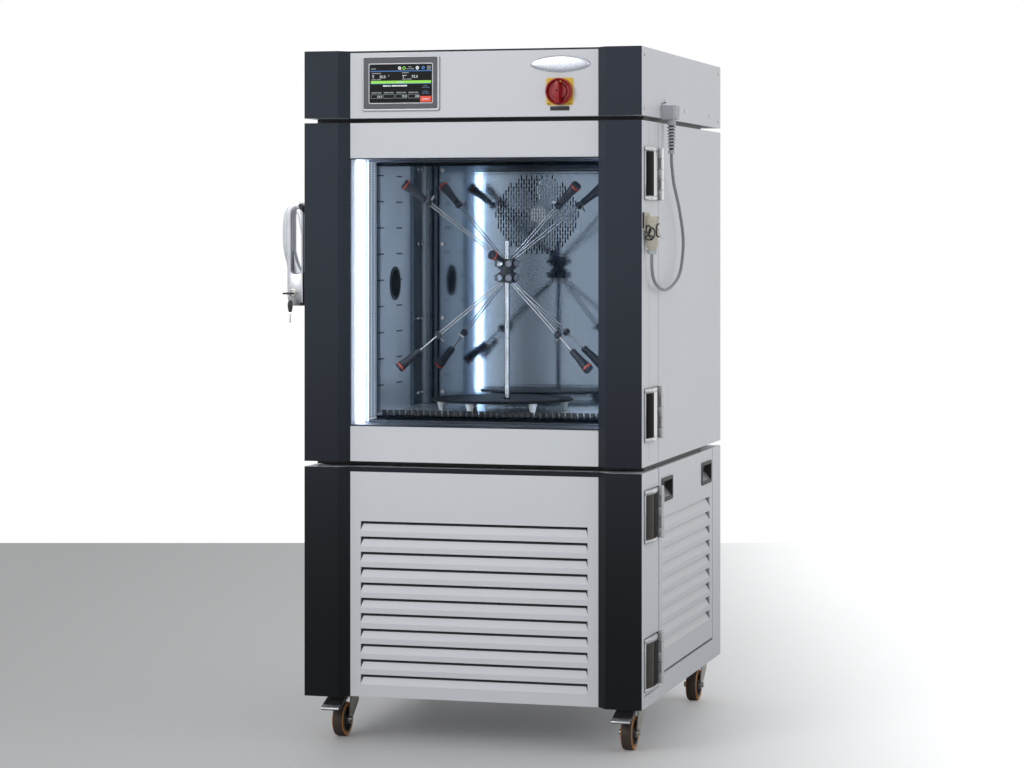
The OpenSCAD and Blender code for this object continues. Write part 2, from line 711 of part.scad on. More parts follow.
module door_seal() placed() color("black") difference() {
    block([-throat_x - 26, door_d + fit, throat_z0 - 26], [throat_x + 26, body_y - fit, throat_z1 + 26]);
    block([-throat_x, door_d, throat_z0], [throat_x, body_y, throat_z1]);
}

// Handle: a black base on the door's side, and a grip that turns on a pin at its front
module handle_base() placed() color("black") {
    x0 = -half_w - base_reach;
    difference() {
        union() {
            block([x0, handle_y + 6, handle_z], [-half_w - fit, handle_y + handle_d, handle_z + handle_h - 8]);
            for (z = [handle_z, handle_z + handle_h - 16]) {
                translate([grip_axis.x, grip_axis.y, 0]) rod_z(z, z + 8, 7);
                block([grip_axis.x, grip_axis.y - 4, z], [x0 + 8, grip_axis.y + 7, z + 8]);
            }
        }
        translate([grip_axis.x, grip_axis.y, 0]) {
            rod_z(handle_z - 1, handle_z + handle_h, pin_d / 2 - 0.5);
            rod_z(handle_z + 8, handle_z + handle_h - 16, 5.5 + clear);
        }
    }
    translate([grip_axis.x, grip_axis.y, 0]) rod_z(handle_z, handle_z + handle_h - 8, pin_d / 2 - 0.5);
}
module grip_plan(reach) {
    x0 = -half_w - reach;
    x1 = -half_w - base_reach - clear;
    r = min(22, (x1 - x0) / 2);
    translate([x0 + r, handle_z + handle_h - r]) circle(r);
    translate([x0 + r, handle_z + handle_h - 2 * r]) square([x1 - x0 - r, 2 * r]);
    translate([x0, handle_z + 8]) square([x1 - x0, handle_h - r - 8]);
    translate([x0 + 8, handle_z]) square([x1 - x0 - 8, 12]);
}
module handle_grip() placed() color("lightgray") {
    x1 = -half_w - base_reach - clear;
    hole_x0 = -half_w - face_reach + grip_w;
    hole_w = 24;
    hole_z0 = handle_z + lock_h + 14;
    hole_h = handle_h - lock_h - 14 - 16;
    difference() {
        union() {
            along_y(handle_y, handle_y + 14) grip_plan(face_reach);
            along_y(handle_y + 14, handle_y + handle_d) grip_plan(handle_reach);
            translate([grip_axis.x, grip_axis.y, 0]) rod_z(handle_z + 8 + clear, handle_z + handle_h - 16 - clear, 5.5);
        }
        along_y(handle_y - 1, handle_y + handle_d + 1) translate([hole_x0 + hole_w / 2, hole_z0 + hole_h / 2])
            round_rect(hole_w, hole_h, 11.9);
        for (z = [handle_z - 1, handle_z + handle_h - 16 - clear])
            block([grip_axis.x - 8, handle_y - 5, z], [x1 + 9, handle_y + 16, z + (z < handle_z ? 9 : 16) + clear]);
        translate([grip_axis.x, grip_axis.y, 0]) rod_z(handle_z, handle_z + handle_h, pin_d / 2 - 0.5 + running);
        translate([-half_w - 48, 0, handle_z + 29]) rod_y(handle_y - 1, handle_y + 24, 7 + running);
    }
}
module keys() placed() {
    translate([-half_w - 48, 0, handle_z + 29]) {
        color("silver") {
            rod_y(handle_y - 2, handle_y + 23, 7);
            block([-4, handle_y - 10, -1], [4, handle_y - 2, 1]);
        }
        color("black") along_z(-1.5, 1.5) translate([-9, handle_y - 21]) round_rect(26, 22, 5);
        color("silver") translate([-6, handle_y - 26, -9]) rotate([0, 90, 0]) rotate_extrude() translate([9, 0]) circle(0.8);
        color("black") along_y(handle_y - 28, handle_y - 25) translate([-5, -30]) round_rect(13, 28, 5);
        color("silver") block([-6.5, handle_y - 27.5, -69], [-3.5, handle_y - 25.5, -43]);
    }
}

// Connector of the door's window heating and light
module connector_socket() placed() {
    x = half_w + fit;
    color("wheat") {
        block([x, connector_y - 26, connector_z + 44], [half_w + 5, connector_y + 26, connector_z + 84]);
        block([half_w + 5, connector_y - 17, connector_z + 44], [half_w + 27, connector_y + 17, connector_z + 76]);
    }
    color("black") block([half_w + 8, connector_y + 17, connector_z + 38], [half_w + 20, connector_y + 22, connector_z + 70]);
}
module connector_plug() placed() {
    color("wheat") difference() {
        along_z(connector_z + 10, connector_z + 44 - fit) translate([half_w + 16, connector_y]) round_rect(23, 34, 4);
        translate([half_w + 15, connector_y, 0]) rod_z(connector_z + 9, connector_z + 40, 5);
    }
    color("gray") translate([half_w + 15, connector_y, 0]) {
        rod_z(connector_z - 2, connector_z + 10 - fit, 9);
        rod_z(connector_z - 10, connector_z - 2, 7);
    }
}

// Control box
module control_box() placed() color("gainsboro") difference() {
    union() {
        both_sides() along_z(z_box, z_top) casing_plan(cabinet_d);
        block([-foot_x - 1, panel_in + slope_back + fit, z_box], [foot_x + 1, cabinet_d, z_top]);
    }
    block([sheet - half_w, door_d, z_box + sheet], [half_w - sheet, cabinet_d - sheet, z_top - sheet]);
    block([sheet - foot_x, panel_in, z_box + sheet], [foot_x - sheet, door_d + 1, z_top - sheet]);
    both_sides() along_z(z_box + sheet, z_top - sheet) casing_room(sheet, door_d + 2 * sheet);
}
module control_columns() placed() color("darkslategray") {
    columns(z_box, z_top);
    block([-foot_x, panel_in, z_top - control_strip], [foot_x, panel_in + slope_back, z_top]);
}
display_x = display_w / 2 + 30 - foot_x;
display_z = z_top - 76;
switch_x = foot_x - switch_w / 2 - 59;
switch_z = z_top - 99;
module control_panel() placed() color("gainsboro") difference() {
    block([fit - foot_x, panel_in, z_box], [foot_x - fit, panel_in + sheet, z_top - control_strip - fit]);
    along_y(panel_in - 1, panel_in + sheet + 1) {
        translate([display_x, display_z]) square([display_w - 24, display_h - 18], center = true);
        translate([switch_x, switch_z]) circle(8);
    }
}
module display_frame() placed() color("silver") translate([display_x, 0, display_z]) difference() {
    along_y(panel_in - 2.5, panel_in - fit) round_rect(display_w, display_h, 5);
    along_y(panel_in - 3, panel_in) square([display_w - 36, display_h - 34], center = true);
}
module display_screen() placed() color("black") translate([display_x, 0, display_z]) {
    along_y(panel_in - 2, panel_in) square([display_w - 36.4, display_h - 34.4], center = true);
    along_y(panel_in, panel_in + 24) square([display_w - 25, display_h - 19], center = true);
}
module switch_plate() placed() color("gold") translate([switch_x, 0, switch_z]) difference() {
    along_y(panel_in - 2, panel_in - fit) round_rect(switch_w, switch_w, 4);
    rod_y(panel_in - 3, panel_in, 4 + running);
}
module switch_knob() placed() color("red") translate([switch_x, 0, switch_z]) {
    rod_y(panel_in - 2 - clear, panel_in + 20, 4);
    rod_y(panel_in - 14, panel_in - 2 - clear, switch_w / 2 - 0.5);
    along_y(-4, panel_in - 14) round_rect(13, switch_w - 8, 4);
}

// Lead from the control box to the door
module cord_outlet() placed() {
    color("gainsboro") translate([half_w, outlet_at.y, 0]) along_z(z_box - 3 + fit, z_box + 30)
        translate([outlet_reach / 2 + fit, 0]) square([outlet_reach - 2 * fit, 44], center = true);
    color("gainsboro") strain_relief();
}
module strain_relief() translate([outlet_at.x, outlet_at.y, 0]) difference() {
    union() {
        rod_z(relief_z[1] - 12, relief_z[1], 10.5);
        for (i = [0 : 7]) rod_z(relief_z[1] - 17 - 7 * i, relief_z[1] - 13 - 7 * i, 9.5 - 0.3 * i);
        rod_z(relief_z[0] + 8, relief_z[1] - 6, 6);
        rod_z(relief_z[0], relief_z[0] + 8, 7.2);
    }
    rod_z(relief_z[0] - 1, relief_z[1] - 6, cord_d / 2 + 0.3);
}
cord_route = [
    [421, 220, 1378], [421, 220, 1361], [421, 222, 1341], [421, 232, 1318], [420, 250, 1295], [420, 275, 1271],
    [420, 302, 1246], [419, 328, 1220], [419, 349, 1190], [419, 360, 1157], [418, 356, 1124],
    [418, 338, 1096], [418, 308, 1076], [417, 273, 1064], [417, 236, 1056], [417, 198, 1051],
    [416, 160, 1050], [416, 123, 1054], [416, 88, 1062], [415, 60, 1075], [415, 45, 1093], [415, 40, 1112],
    [415, 40, 1131.8]
];
cord_sides = 8;
// Rings of the lead: a smooth curve through the route's points, cut into steps
function route_point(i) = cord_route[max(0, min(len(cord_route) - 1, i))];
function spline(i, t) =
    let (a = route_point(i - 1), b = route_point(i), c = route_point(i + 1), d = route_point(i + 2))
    0.5 * (2 * b + (c - a) * t + (2 * a - 5 * b + 4 * c - d) * t * t + (3 * b - a - 3 * c + d) * t * t * t);
function unit(v) = v / norm(v);
module cord() placed() color("gray") {
    path = concat([for (i = [0 : len(cord_route) - 2], t = [0, 0.5]) spline(i, t)], [route_point(len(cord_route) - 1)]);
    n = len(path);
    rings = [for (i = [0 : n - 1])
        let (dir = unit(path[min(i + 1, n - 1)] - path[max(i - 1, 0)]), u = unit(cross(dir, [1, 0, 0])),
            v = cross(dir, u))
        [for (k = [0 : cord_sides - 1]) let (a = 360 * k / cord_sides)
            path[i] + cord_d / 2 * (cos(a) * u + sin(a) * v)]];
    points = [for (r = rings) each r];
    walls = [for (i = [0 : n - 2], k = [0 : cord_sides - 1])
        let (a = i * cord_sides + k, b = i * cord_sides + (k + 1) % cord_sides)
        [a, a + cord_sides, b + cord_sides, b]];
    ends = [[for (k = [0 : cord_sides - 1]) k], [for (k = [cord_sides - 1 : -1 : 0]) (n - 1) * cord_sides + k]];
    polyhedron(points, concat(walls, ends));
}

// Calibration stand with eight probes on adjustable arms
// Gaps of the eight probes to the side walls, to the throat or the baffle, and to the ceiling or floor
front_gap = 22;
rear_gap = 120;
probe_gaps = [
    [[60, 57], [99, 62], [85, 58], [94, 62]],
    [[47, 105], [70, 107], [74, 101], [94, 105]]
];
probe_tips = [for (tier = [0, 1], i = [0 : 3])
    let (gap = probe_gaps[tier][i], side = i % 2 == 0 ? -1 : 1)
    [side * (space_x - gap[0]) - post_at.x,
        (i < 2 ? space_y0 + front_gap : baffle_at - rear_gap) - post_at.y,
        (tier == 0 ? space_z1 - gap[1] : space_z0 + gap[1]) - head_at]
];
module probe_stand() placed() {
    color("dimgray") {
        translate([plate_at.x, plate_at.y, 0]) {
            rod_z(plate_top - plate_t, plate_top, foot_plate_d / 2);
            for (a = [0 : 60 : 300]) rotate([0, 0, a + 14]) translate([foot_plate_d / 2 - 22, 0, space_z0 + fit])
                cylinder(h = feet_h + 1, r1 = 6, r2 = 11);
        }
    }
    color("silver") translate([post_at.x, post_at.y, 0]) rod_z(plate_top + fit, plate_top + post_l, post_d / 2);
}
module at_head(z) { translate([post_at.x, post_at.y, head_at + z]) children(); }
module probe_head() placed() color("black") at_head(0) difference() {
    union() {
        rod_z(-head_h2 / 2, -4, head_d / 2);
        rod_z(4, head_h2 / 2, head_d / 2);
        rod_z(-5, 5, head_d / 2 - 6);
        for (z = [-17, 17], a = [22 : 45 : 337]) translate([0, 0, z]) rotate([0, 0, a])
            rod_x(head_d / 2 - 1, head_d / 2 + 9, 6);
    }
    rod_z(-head_h2, head_h2, post_d / 2 + running);
}
// Turns +Z towards the tip and starts on the head's axis
module toward(tip) {
    from = [0, 0, tip.z > 0 ? 17 : -17];
    d = tip - from;
    at_head(0) translate(from) rotate([0, acos(d.z / norm(d)), atan2(d.y, d.x)]) children();
}
function arm_l(tip) = norm(tip - [0, 0, tip.z > 0 ? 17 : -17]);
// Where an arm leaves the head, through its flat end or through its side
function arm_start(tip) =
    let (c = (abs(tip.z) - 17) / arm_l(tip), s = sqrt(1 - c * c))
    min((head_h2 / 2 - 17 + rod_d / 2 * s + 0.3) / c, (head_d / 2 + rod_d / 2 * c + 0.3) / s);
probe_l = 68;
collar_l = 14;
function shaft_l(tip) = tip.z > 0 ? 2 : 50;
module probe_arms() placed() color("silver") for (tip = probe_tips) toward(tip) {
    l = arm_l(tip) - probe_l - shaft_l(tip) - collar_l;
    for (s = [-1, 1]) translate([0, s * (rod_d / 2 + 0.6), 0]) rod_z(arm_start(tip), l + 1, rod_d / 2);
}
module probes() placed() color("black") for (tip = probe_tips) toward(tip) {
    l = arm_l(tip) - probe_l;
    s = shaft_l(tip);
    rod_z(l - s - collar_l + 1 + fit, l - s, 9.5);
    rod_z(l - s - 0.5, l + 0.5, 4);
    rod_z(l, l + probe_l, probe_d / 2);
}

base_frame();
lower_frame();
spacer_plinths();
rear_panel();
chamber_shell();
insulation();
liner();
air_baffle();
fan_motor();
fan_rotor();
heater();
evaporator();
port_sleeve();
control_box();
control_panel();
control_columns();
display_frame();
display_screen();
switch_plate();
switch_knob();
cabinet_hinges();
compressor();
condenser();
condenser_fan();
cord_outlet();
cord();
probe_stand();
probe_head();
probe_arms();
probes();
right_side_panel();
left_side_panel();
door_columns();
door_front_panel();
door_casing();
door_foam();
door_glass();
pane_spacers();
light_bars();
door_seal();
door_hinges();
connector_socket();
connector_plug();
handle_base();
handle_grip();
keys();
lower_columns();
lower_front_panel();
lower_door_casing();
lower_door_hinges();
castor_fork_fl();
castor_fork_fr();
castor_fork_rl();
castor_fork_rr();
castor_wheel_fl();
castor_wheel_fr();
castor_wheel_rl();
castor_wheel_rr();
brake_pedal_fl();
brake_pedal_fr();
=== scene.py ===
import bpy
import bmesh
import math
from mathutils import Vector, Matrix


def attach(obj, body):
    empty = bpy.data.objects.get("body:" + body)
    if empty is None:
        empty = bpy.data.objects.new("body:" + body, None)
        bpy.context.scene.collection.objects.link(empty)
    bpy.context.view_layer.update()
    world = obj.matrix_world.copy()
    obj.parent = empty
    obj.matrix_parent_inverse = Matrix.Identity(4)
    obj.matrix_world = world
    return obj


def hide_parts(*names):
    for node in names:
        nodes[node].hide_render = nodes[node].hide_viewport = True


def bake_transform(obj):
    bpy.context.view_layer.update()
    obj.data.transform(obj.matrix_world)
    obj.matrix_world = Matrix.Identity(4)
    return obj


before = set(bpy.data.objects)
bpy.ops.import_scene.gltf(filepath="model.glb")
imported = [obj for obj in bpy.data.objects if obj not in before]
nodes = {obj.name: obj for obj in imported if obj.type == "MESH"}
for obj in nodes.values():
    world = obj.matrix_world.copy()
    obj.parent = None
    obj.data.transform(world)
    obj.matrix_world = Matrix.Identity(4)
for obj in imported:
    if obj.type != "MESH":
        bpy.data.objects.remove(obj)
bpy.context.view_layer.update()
print("frame loaded")

# Places are written as on the cabinet: mm, X from its middle, Y back from the front covers, Z up from the floor
frameShift = Vector((0.022, -0.450, 0.0))


def spot(x, y, z):
    return Vector((x, y, z)) * 0.001 + frameShift


# Camera, light and floor
studio = {
    "cameraPlace": (1.851, -6.695, 1.189), "cameraTurn": 15.48, "lens": 100.48, "horizonShift": -0.1512,
    "worldStrength": 0.5, "skyTone": (0.96, 0.98, 1.0, 1), "glossyShare": 0.9,
    "floorHalf": 9, "floorBehind": -3, "floorReach": 10.83, "paperAcross": (-1.6, 1.4), "paperShadeTones": (180, 236),
    "glareAcross": (0.1, 1.3), "glare": (0.035, 0.55),
    "lamps": (("keyLamp", (-2.2, -5.2, 3.2), (2.6, 2.6), 95), ("sideLamp", (4.2, -0.6, 2.4), (2.0, 2.4), 17)),
    "lampTarget": (0, 0, 0.9),
}


def toneOf(red, green, blue, alpha=1.0):
    # 8-bit screen colour as linear light
    parts = []
    for value in (red, green, blue):
        v = value / 255
        parts.append(v / 12.92 if v <= 0.04045 else ((v + 0.055) / 1.055) ** 2.4)
    return (*parts, alpha)


def addObject(name, data):
    made = bpy.data.objects.new(name, data)
    bpy.context.scene.collection.objects.link(made)
    return made


def addNode(tree, kind, inputs=None, **settings):
    made = tree.nodes.new(kind)
    for name, value in settings.items():
        setattr(made, name, value)
    for name, value in (inputs or {}).items():
        made.inputs[name].default_value = value
    return made


def setUpStudio():
    eye = bpy.data.cameras.new("studioCamera")
    eye.lens = studio["lens"]
    eye.sensor_width = 36
    eye.shift_y = studio["horizonShift"]
    eye.clip_end = 60
    camera = addObject("studioCamera", eye)
    camera.location = studio["cameraPlace"]
    camera.rotation_euler = (math.radians(90), 0, math.radians(studio["cameraTurn"]))
    bpy.context.scene.camera = camera
    bpy.context.scene.view_settings.view_transform = "Standard"

    world = bpy.data.worlds.new("studioWorld")
    bpy.context.scene.world = world
    world.use_nodes = True
    tree = world.node_tree
    tree.nodes.clear()
    path = addNode(tree, "ShaderNodeLightPath")
    seen = addNode(tree, "ShaderNodeMath", operation="MAXIMUM")
    clear = addNode(tree, "ShaderNodeMath", operation="MAXIMUM")
    glossy = addNode(tree, "ShaderNodeMath", {1: studio["glossyShare"]}, operation="MULTIPLY")
    soft = addNode(tree, "ShaderNodeBackground", {"Color": studio["skyTone"], "Strength": studio["worldStrength"]})
    white = addNode(tree, "ShaderNodeBackground", {"Color": (1, 1, 1, 1)})
    blend = addNode(tree, "ShaderNodeMixShader")
    out = addNode(tree, "ShaderNodeOutputWorld")
    # White for the camera and through glass, nearly white in mirrors, and soft light for the rest
    for start, end in ((path.outputs["Is Camera Ray"], seen.inputs[0]), (glossy.outputs[0], seen.inputs[1]),
                       (path.outputs["Is Transmission Ray"], clear.inputs[0]), (seen.outputs[0], clear.inputs[1]),
                       (path.outputs["Is Glossy Ray"], glossy.inputs[0]), (clear.outputs[0], blend.inputs[0]),
                       (soft.outputs[0], blend.inputs[1]), (white.outputs[0], blend.inputs[2]),
                       (blend.outputs[0], out.inputs[0])):
        tree.links.new(start, end)


def addLamp(name, place, size, power):
    lamp = bpy.data.lights.new(name, "AREA")
    lamp.shape = "RECTANGLE"
    lamp.size, lamp.size_y = size
    lamp.energy = power
    holder = addObject(name, lamp)
    holder.location = place
    holder.rotation_euler = (Vector(studio["lampTarget"]) - Vector(place)).to_track_quat("-Z", "Y").to_euler()


setUpStudio()
print("studio set")

# Mesh helpers
axisTurns = {"x": ((0, 1, 0), (0, 0, 1), (1, 0, 0)), "y": ((1, 0, 0), (0, 0, 1), (0, 1, 0)),
             "z": ((1, 0, 0), (0, 1, 0), (0, 0, 1))}
leftAndRight = ((-1, "Left"), (1, "Right"))
sidePanels = (("right", 1, "right_panel"), ("left", -1, "left_panel"))


def placeOn(axis, u, v, along):
    a, b, c = (Vector(t) for t in axisTurns[axis])
    return a * u + b * v + c * along


def mirrored(side):
    # The right side as it is, the left side as its mirror image
    return Matrix.Scale(side, 4, (1, 0, 0))


def addTo(mesh, part):
    held = bpy.data.meshes.new("held")
    part.to_mesh(held)
    part.free()
    mesh.from_mesh(held)
    bpy.data.meshes.remove(held)


def joinPart(mesh, part, paint=0, edge=0, turn=None):
    bmesh.ops.recalc_face_normals(part, faces=part.faces)
    if edge:
        sharp = [e for e in part.edges if len(e.link_faces) == 2 and e.calc_face_angle(0) > 0.6]
        bmesh.ops.bevel(part, geom=sharp, offset=edge, segments=2, profile=0.6, affect="EDGES", clamp_overlap=True)
    if turn:
        bmesh.ops.transform(part, matrix=turn, verts=part.verts)
    for face in part.faces:
        face.material_index = paint
    addTo(mesh, part)


def addLoop(part, points):
    return [part.verts.new(p) for p in points]


def bridge(part, first, second, paint=0):
    # Faces between two loops of as many points
    for k in range(len(first)):
        n = (k + 1) % len(first)
        part.faces.new((first[k], first[n], second[n], second[k])).material_index = paint


def closeEnds(part, loops):
    part.faces.new(loops[0])
    part.faces.new(loops[-1])


def addPrism(mesh, low, high, paint=0, edge=0, turn=None):
    part = bmesh.new()
    loops = [addLoop(part, low), addLoop(part, high)]
    closeEnds(part, loops)
    bridge(part, *loops)
    joinPart(mesh, part, paint, edge, turn)


def addSlab(mesh, outline, axis, start, end, edge=0, paint=0, turn=None):
    low, high = ([placeOn(axis, u, v, along) for u, v in outline] for along in (start, end))
    addPrism(mesh, low, high, paint, edge, turn)


def addBlock(mesh, low, high, edge=0, paint=0, turn=None):
    outline = [(low[0], low[1]), (high[0], low[1]), (high[0], high[1]), (low[0], high[1])]
    addSlab(mesh, outline, "z", low[2], high[2], edge, paint, turn)


def addTurned(mesh, profile, centre, axis="z", steps=32, paint=0, turn=None):
    # profile: (radius, place along the axis). Radius 0 closes an end. A profile that ends where it starts is a ring.
    part = bmesh.new()
    rings = []
    closed = profile[0] == profile[-1]
    if closed:
        profile = profile[:-1]
    for radius, along in profile:
        angles = [2 * math.pi * k / steps for k in range(steps if radius else 1)]
        rings.append(addLoop(part, [placeOn(axis, radius * math.cos(a), radius * math.sin(a), along) + Vector(centre)
                                    for a in angles]))
    for first, second in zip(rings, rings[1:] + rings[:1] if closed else rings[1:]):
        for k in range(steps):
            n = (k + 1) % steps
            corners = list(dict.fromkeys((first[k % len(first)], first[n % len(first)], second[n % len(second)],
                                          second[k % len(second)])))
            if len(corners) > 2:
                part.faces.new(corners)
    for ring in (rings[0], rings[-1]):
        if len(ring) > 1 and not closed:
            part.faces.new(ring)
    joinPart(mesh, part, paint, 0, turn)


def addRing(mesh, outer, inner, axis, start, end, edge=0, paint=0, turn=None):
    # Both outlines have the same number of points
    part = bmesh.new()
    loops = [addLoop(part, [placeOn(axis, u, v, along) for u, v in line])
             for line, along in ((outer, start), (outer, end), (inner, end), (inner, start))]
    for first, second in zip(loops, loops[1:] + loops[:1]):
        bridge(part, first, second)
    joinPart(mesh, part, paint, edge, turn)


def addLoft(mesh, loops, paint=0):
    part = bmesh.new()
    loops = [addLoop(part, loop) for loop in loops]
    for first, second in zip(loops, loops[1:]):
        bridge(part, first, second)
    closeEnds(part, loops)
    joinPart(mesh, part, paint)


def addTube(mesh, points, radius, steps=12, paint=0):
    points = [Vector(p) for p in points]
    side = Vector((1, 0, 0))
    rings = []
    for i, p in enumerate(points):
        along = (points[min(i + 1, len(points) - 1)] - points[max(i - 1, 0)]).normalized()
        side = (side - along * side.dot(along)).normalized()
        other = along.cross(side)
        angles = [2 * math.pi * k / steps for k in range(steps)]
        rings.append([p + (side * math.cos(a) + other * math.sin(a)) * radius for a in angles])
    addLoft(mesh, rings, paint)


def aimed(place, target, roll=0):
    # Turns +Z from place towards target
    direction = Vector(target) - Vector(place)
    return (Matrix.Translation(Vector(place)) @ direction.to_track_quat("Z", "Y").to_matrix().to_4x4()
            @ Matrix.Rotation(math.radians(roll), 4, "Z"))


def roundedRect(width, height, radius, cx=0, cy=0, steps=5):
    points = []
    for sx, sy, a0 in ((1, 1, 0), (-1, 1, 90), (-1, -1, 180), (1, -1, 270)):
        for k in range(steps + 1):
            a = math.radians(a0 + 90 * k / steps)
            points.append((cx + sx * (width / 2 - radius) + radius * math.cos(a),
                           cy + sy * (height / 2 - radius) + radius * math.sin(a)))
    return points


def meshData(mesh, name, shift, sharpness):
    # From mm to m, smooth between its sharp edges
    data = bpy.data.meshes.new(name)
    mesh.to_mesh(data)
    mesh.free()
    data.transform(Matrix.Translation(shift) @ Matrix.Scale(0.001, 4))
    for face in data.polygons:
        face.use_smooth = True
    data.set_sharp_from_angle(angle=math.radians(sharpness))
    return data


def settle(piece, body, replaces):
    if body:
        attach(piece, body)
    if replaces:
        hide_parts(*replaces)
    return piece


def finishPiece(mesh, name, body, materials, replaces=(), sharpness=32):
    # materials: names of finishes, in the order of the paint numbers
    data = meshData(mesh, name, frameShift, sharpness)
    for word in materials:
        data.materials.append(finishes[word])
    return settle(addObject(name, data), body, replaces)


# Geometry Nodes: one piece repeated in rows
def rowTree():
    tree = bpy.data.node_groups.new("repeatInRow", "GeometryNodeTree")
    face = tree.interface
    face.new_socket("Geometry", in_out="INPUT", socket_type="NodeSocketGeometry")
    for name, kind in (("Piece", "Object"), ("Count", "Int"), ("Step", "Vector"), ("Rows", "Int"),
                       ("Row Step", "Vector"), ("Finish", "Material")):
        face.new_socket(name, in_out="INPUT", socket_type="NodeSocket" + kind)
    face.new_socket("Geometry", in_out="OUTPUT", socket_type="NodeSocketGeometry")
    link = tree.links.new
    given = addNode(tree, "NodeGroupInput")
    piece = addNode(tree, "GeometryNodeObjectInfo")
    link(given.outputs["Piece"], piece.inputs["Object"])
    made = piece.outputs["Geometry"]
    for count, step in (("Count", "Step"), ("Rows", "Row Step")):
        line = addNode(tree, "GeometryNodeMeshLine", mode="OFFSET")
        link(given.outputs[count], line.inputs["Count"])
        link(given.outputs[step], line.inputs["Offset"])
        copies = addNode(tree, "GeometryNodeInstanceOnPoints")
        link(line.outputs[0], copies.inputs["Points"])
        link(made, copies.inputs["Instance"])
        made = copies.outputs[0]
    real = addNode(tree, "GeometryNodeRealizeInstances")
    link(made, real.inputs[0])
    paint = addNode(tree, "GeometryNodeSetMaterial")
    link(real.outputs[0], paint.inputs["Geometry"])
    link(given.outputs["Finish"], paint.inputs["Material"])
    link(paint.outputs[0], addNode(tree, "NodeGroupOutput").inputs[0])
    return tree


repeatInRow = rowTree()


def repeatPiece(mesh, name, body, finish, count, step=(0, 0, 0), rows=1, rowStep=(0, 0, 0), centre=(0, 0, 0)):
    # mesh is one piece, in mm about its own middle; centre is where the first one goes
    one = addObject(name + "Seed", meshData(mesh, name + "Seed", Vector((0, 0, 0)), 32))
    host = addObject(name, bpy.data.meshes.new(name + "Host"))
    grow = host.modifiers.new("repeat", "NODES")
    grow.node_group = repeatInRow
    values = {"Piece": one, "Count": count, "Step": Vector(step) * 0.001, "Rows": rows,
              "Row Step": Vector(rowStep) * 0.001, "Finish": finishes[finish]}
    for item in repeatInRow.interface.items_tree:
        if item.in_out == "INPUT" and item.name in values:
            grow[item.identifier] = values[item.name]
    bpy.context.view_layer.update()
    made = bpy.data.meshes.new_from_object(host.evaluated_get(bpy.context.evaluated_depsgraph_get()))
    host.modifiers.clear()
    made.transform(Matrix.Translation(spot(*centre)))
    host.data = made
    made.name = name
    bpy.data.objects.remove(one)
    return settle(host, body, ())


# Finishes
def startMaterial(name):
    material = bpy.data.materials.new(name)
    material.use_nodes = True
    tree = material.node_tree
    where = addNode(tree, "ShaderNodeTexCoord").outputs["Object"]
    return material, tree, tree.nodes["Principled BSDF"], where


def makeFinish(name, colour, rough, metal, mottle, grain, further=None):
    further = further or {}
    material, tree, shader, where = startMaterial(name)
    link = tree.links.new
    values = {"Metallic": metal, "Coat Weight": further.get("coat", 0),
              "Specular IOR Level": further.get("specular", 0.5)}
    if "glow" in further:
        values["Emission Color"] = toneOf(*further["glowColour"])
        values["Emission Strength"] = further["glow"]
    for word, value in values.items():
        shader.inputs[word].default_value = value
    drawn = addNode(tree, "ShaderNodeMapping", {"Scale": further.get("stretch", (1, 1, 1))})
    link(where, drawn.inputs["Vector"])
    cloud = addNode(tree, "ShaderNodeTexNoise", {"Scale": mottle[0], "Detail": 4})
    link(drawn.outputs[0], cloud.inputs["Vector"])
    ramp = addNode(tree, "ShaderNodeValToRGB")
    base = toneOf(*colour)[:3]
    for element, place, factor in zip(ramp.color_ramp.elements, (0.3, 0.7), (1 - mottle[1], 1 + mottle[1])):
        element.position = place
        element.color = [min(1, c * factor) for c in base] + [1]
    link(cloud.outputs["Fac"], ramp.inputs[0])
    link(ramp.outputs[0], shader.inputs["Base Color"])
    fine = addNode(tree, "ShaderNodeTexNoise", {"Scale": grain[0], "Detail": 3})
    link(drawn.outputs[0], fine.inputs["Vector"])
    reach = further.get("roughSpread", 0.06)
    spread = addNode(tree, "ShaderNodeMapRange", {"To Min": max(0.02, rough - reach),
                                                  "To Max": min(1, rough + reach)})
    link(fine.outputs["Fac"], spread.inputs["Value"])
    link(spread.outputs[0], shader.inputs["Roughness"])
    bump = addNode(tree, "ShaderNodeBump", {"Strength": grain[1], "Distance": 0.001})
    link(fine.outputs["Fac"], bump.inputs["Height"])
    link(bump.outputs[0], shader.inputs["Normal"])
    return material


def makeGlass(name, tint, least):
    # Mostly see-through, with more shine where it is seen at a slant
    material, tree, shader, where = startMaterial(name)
    link = tree.links.new
    shader.inputs["Roughness"].default_value = 0.02
    shader.inputs["Specular IOR Level"].default_value = 1.0
    haze = addNode(tree, "ShaderNodeTexNoise", {"Scale": 9})
    link(where, haze.inputs["Vector"])
    tone = addNode(tree, "ShaderNodeValToRGB")
    for element, factor in zip(tone.color_ramp.elements, (0.9, 1)):
        element.color = toneOf(*[c * factor for c in tint])
    link(haze.outputs["Fac"], tone.inputs[0])
    link(tone.outputs[0], shader.inputs["Base Color"])
    edge = addNode(tree, "ShaderNodeLayerWeight", {"Blend": 0.12})
    film = addNode(tree, "ShaderNodeMapRange", {"To Min": least, "To Max": least * 1.6})
    link(haze.outputs["Fac"], film.inputs["Value"])
    total = addNode(tree, "ShaderNodeMath", {1: 0.45}, operation="MULTIPLY_ADD", use_clamp=True)
    link(edge.outputs["Fresnel"], total.inputs[0])
    link(film.outputs[0], total.inputs[2])
    link(total.outputs[0], shader.inputs["Alpha"])
    return material


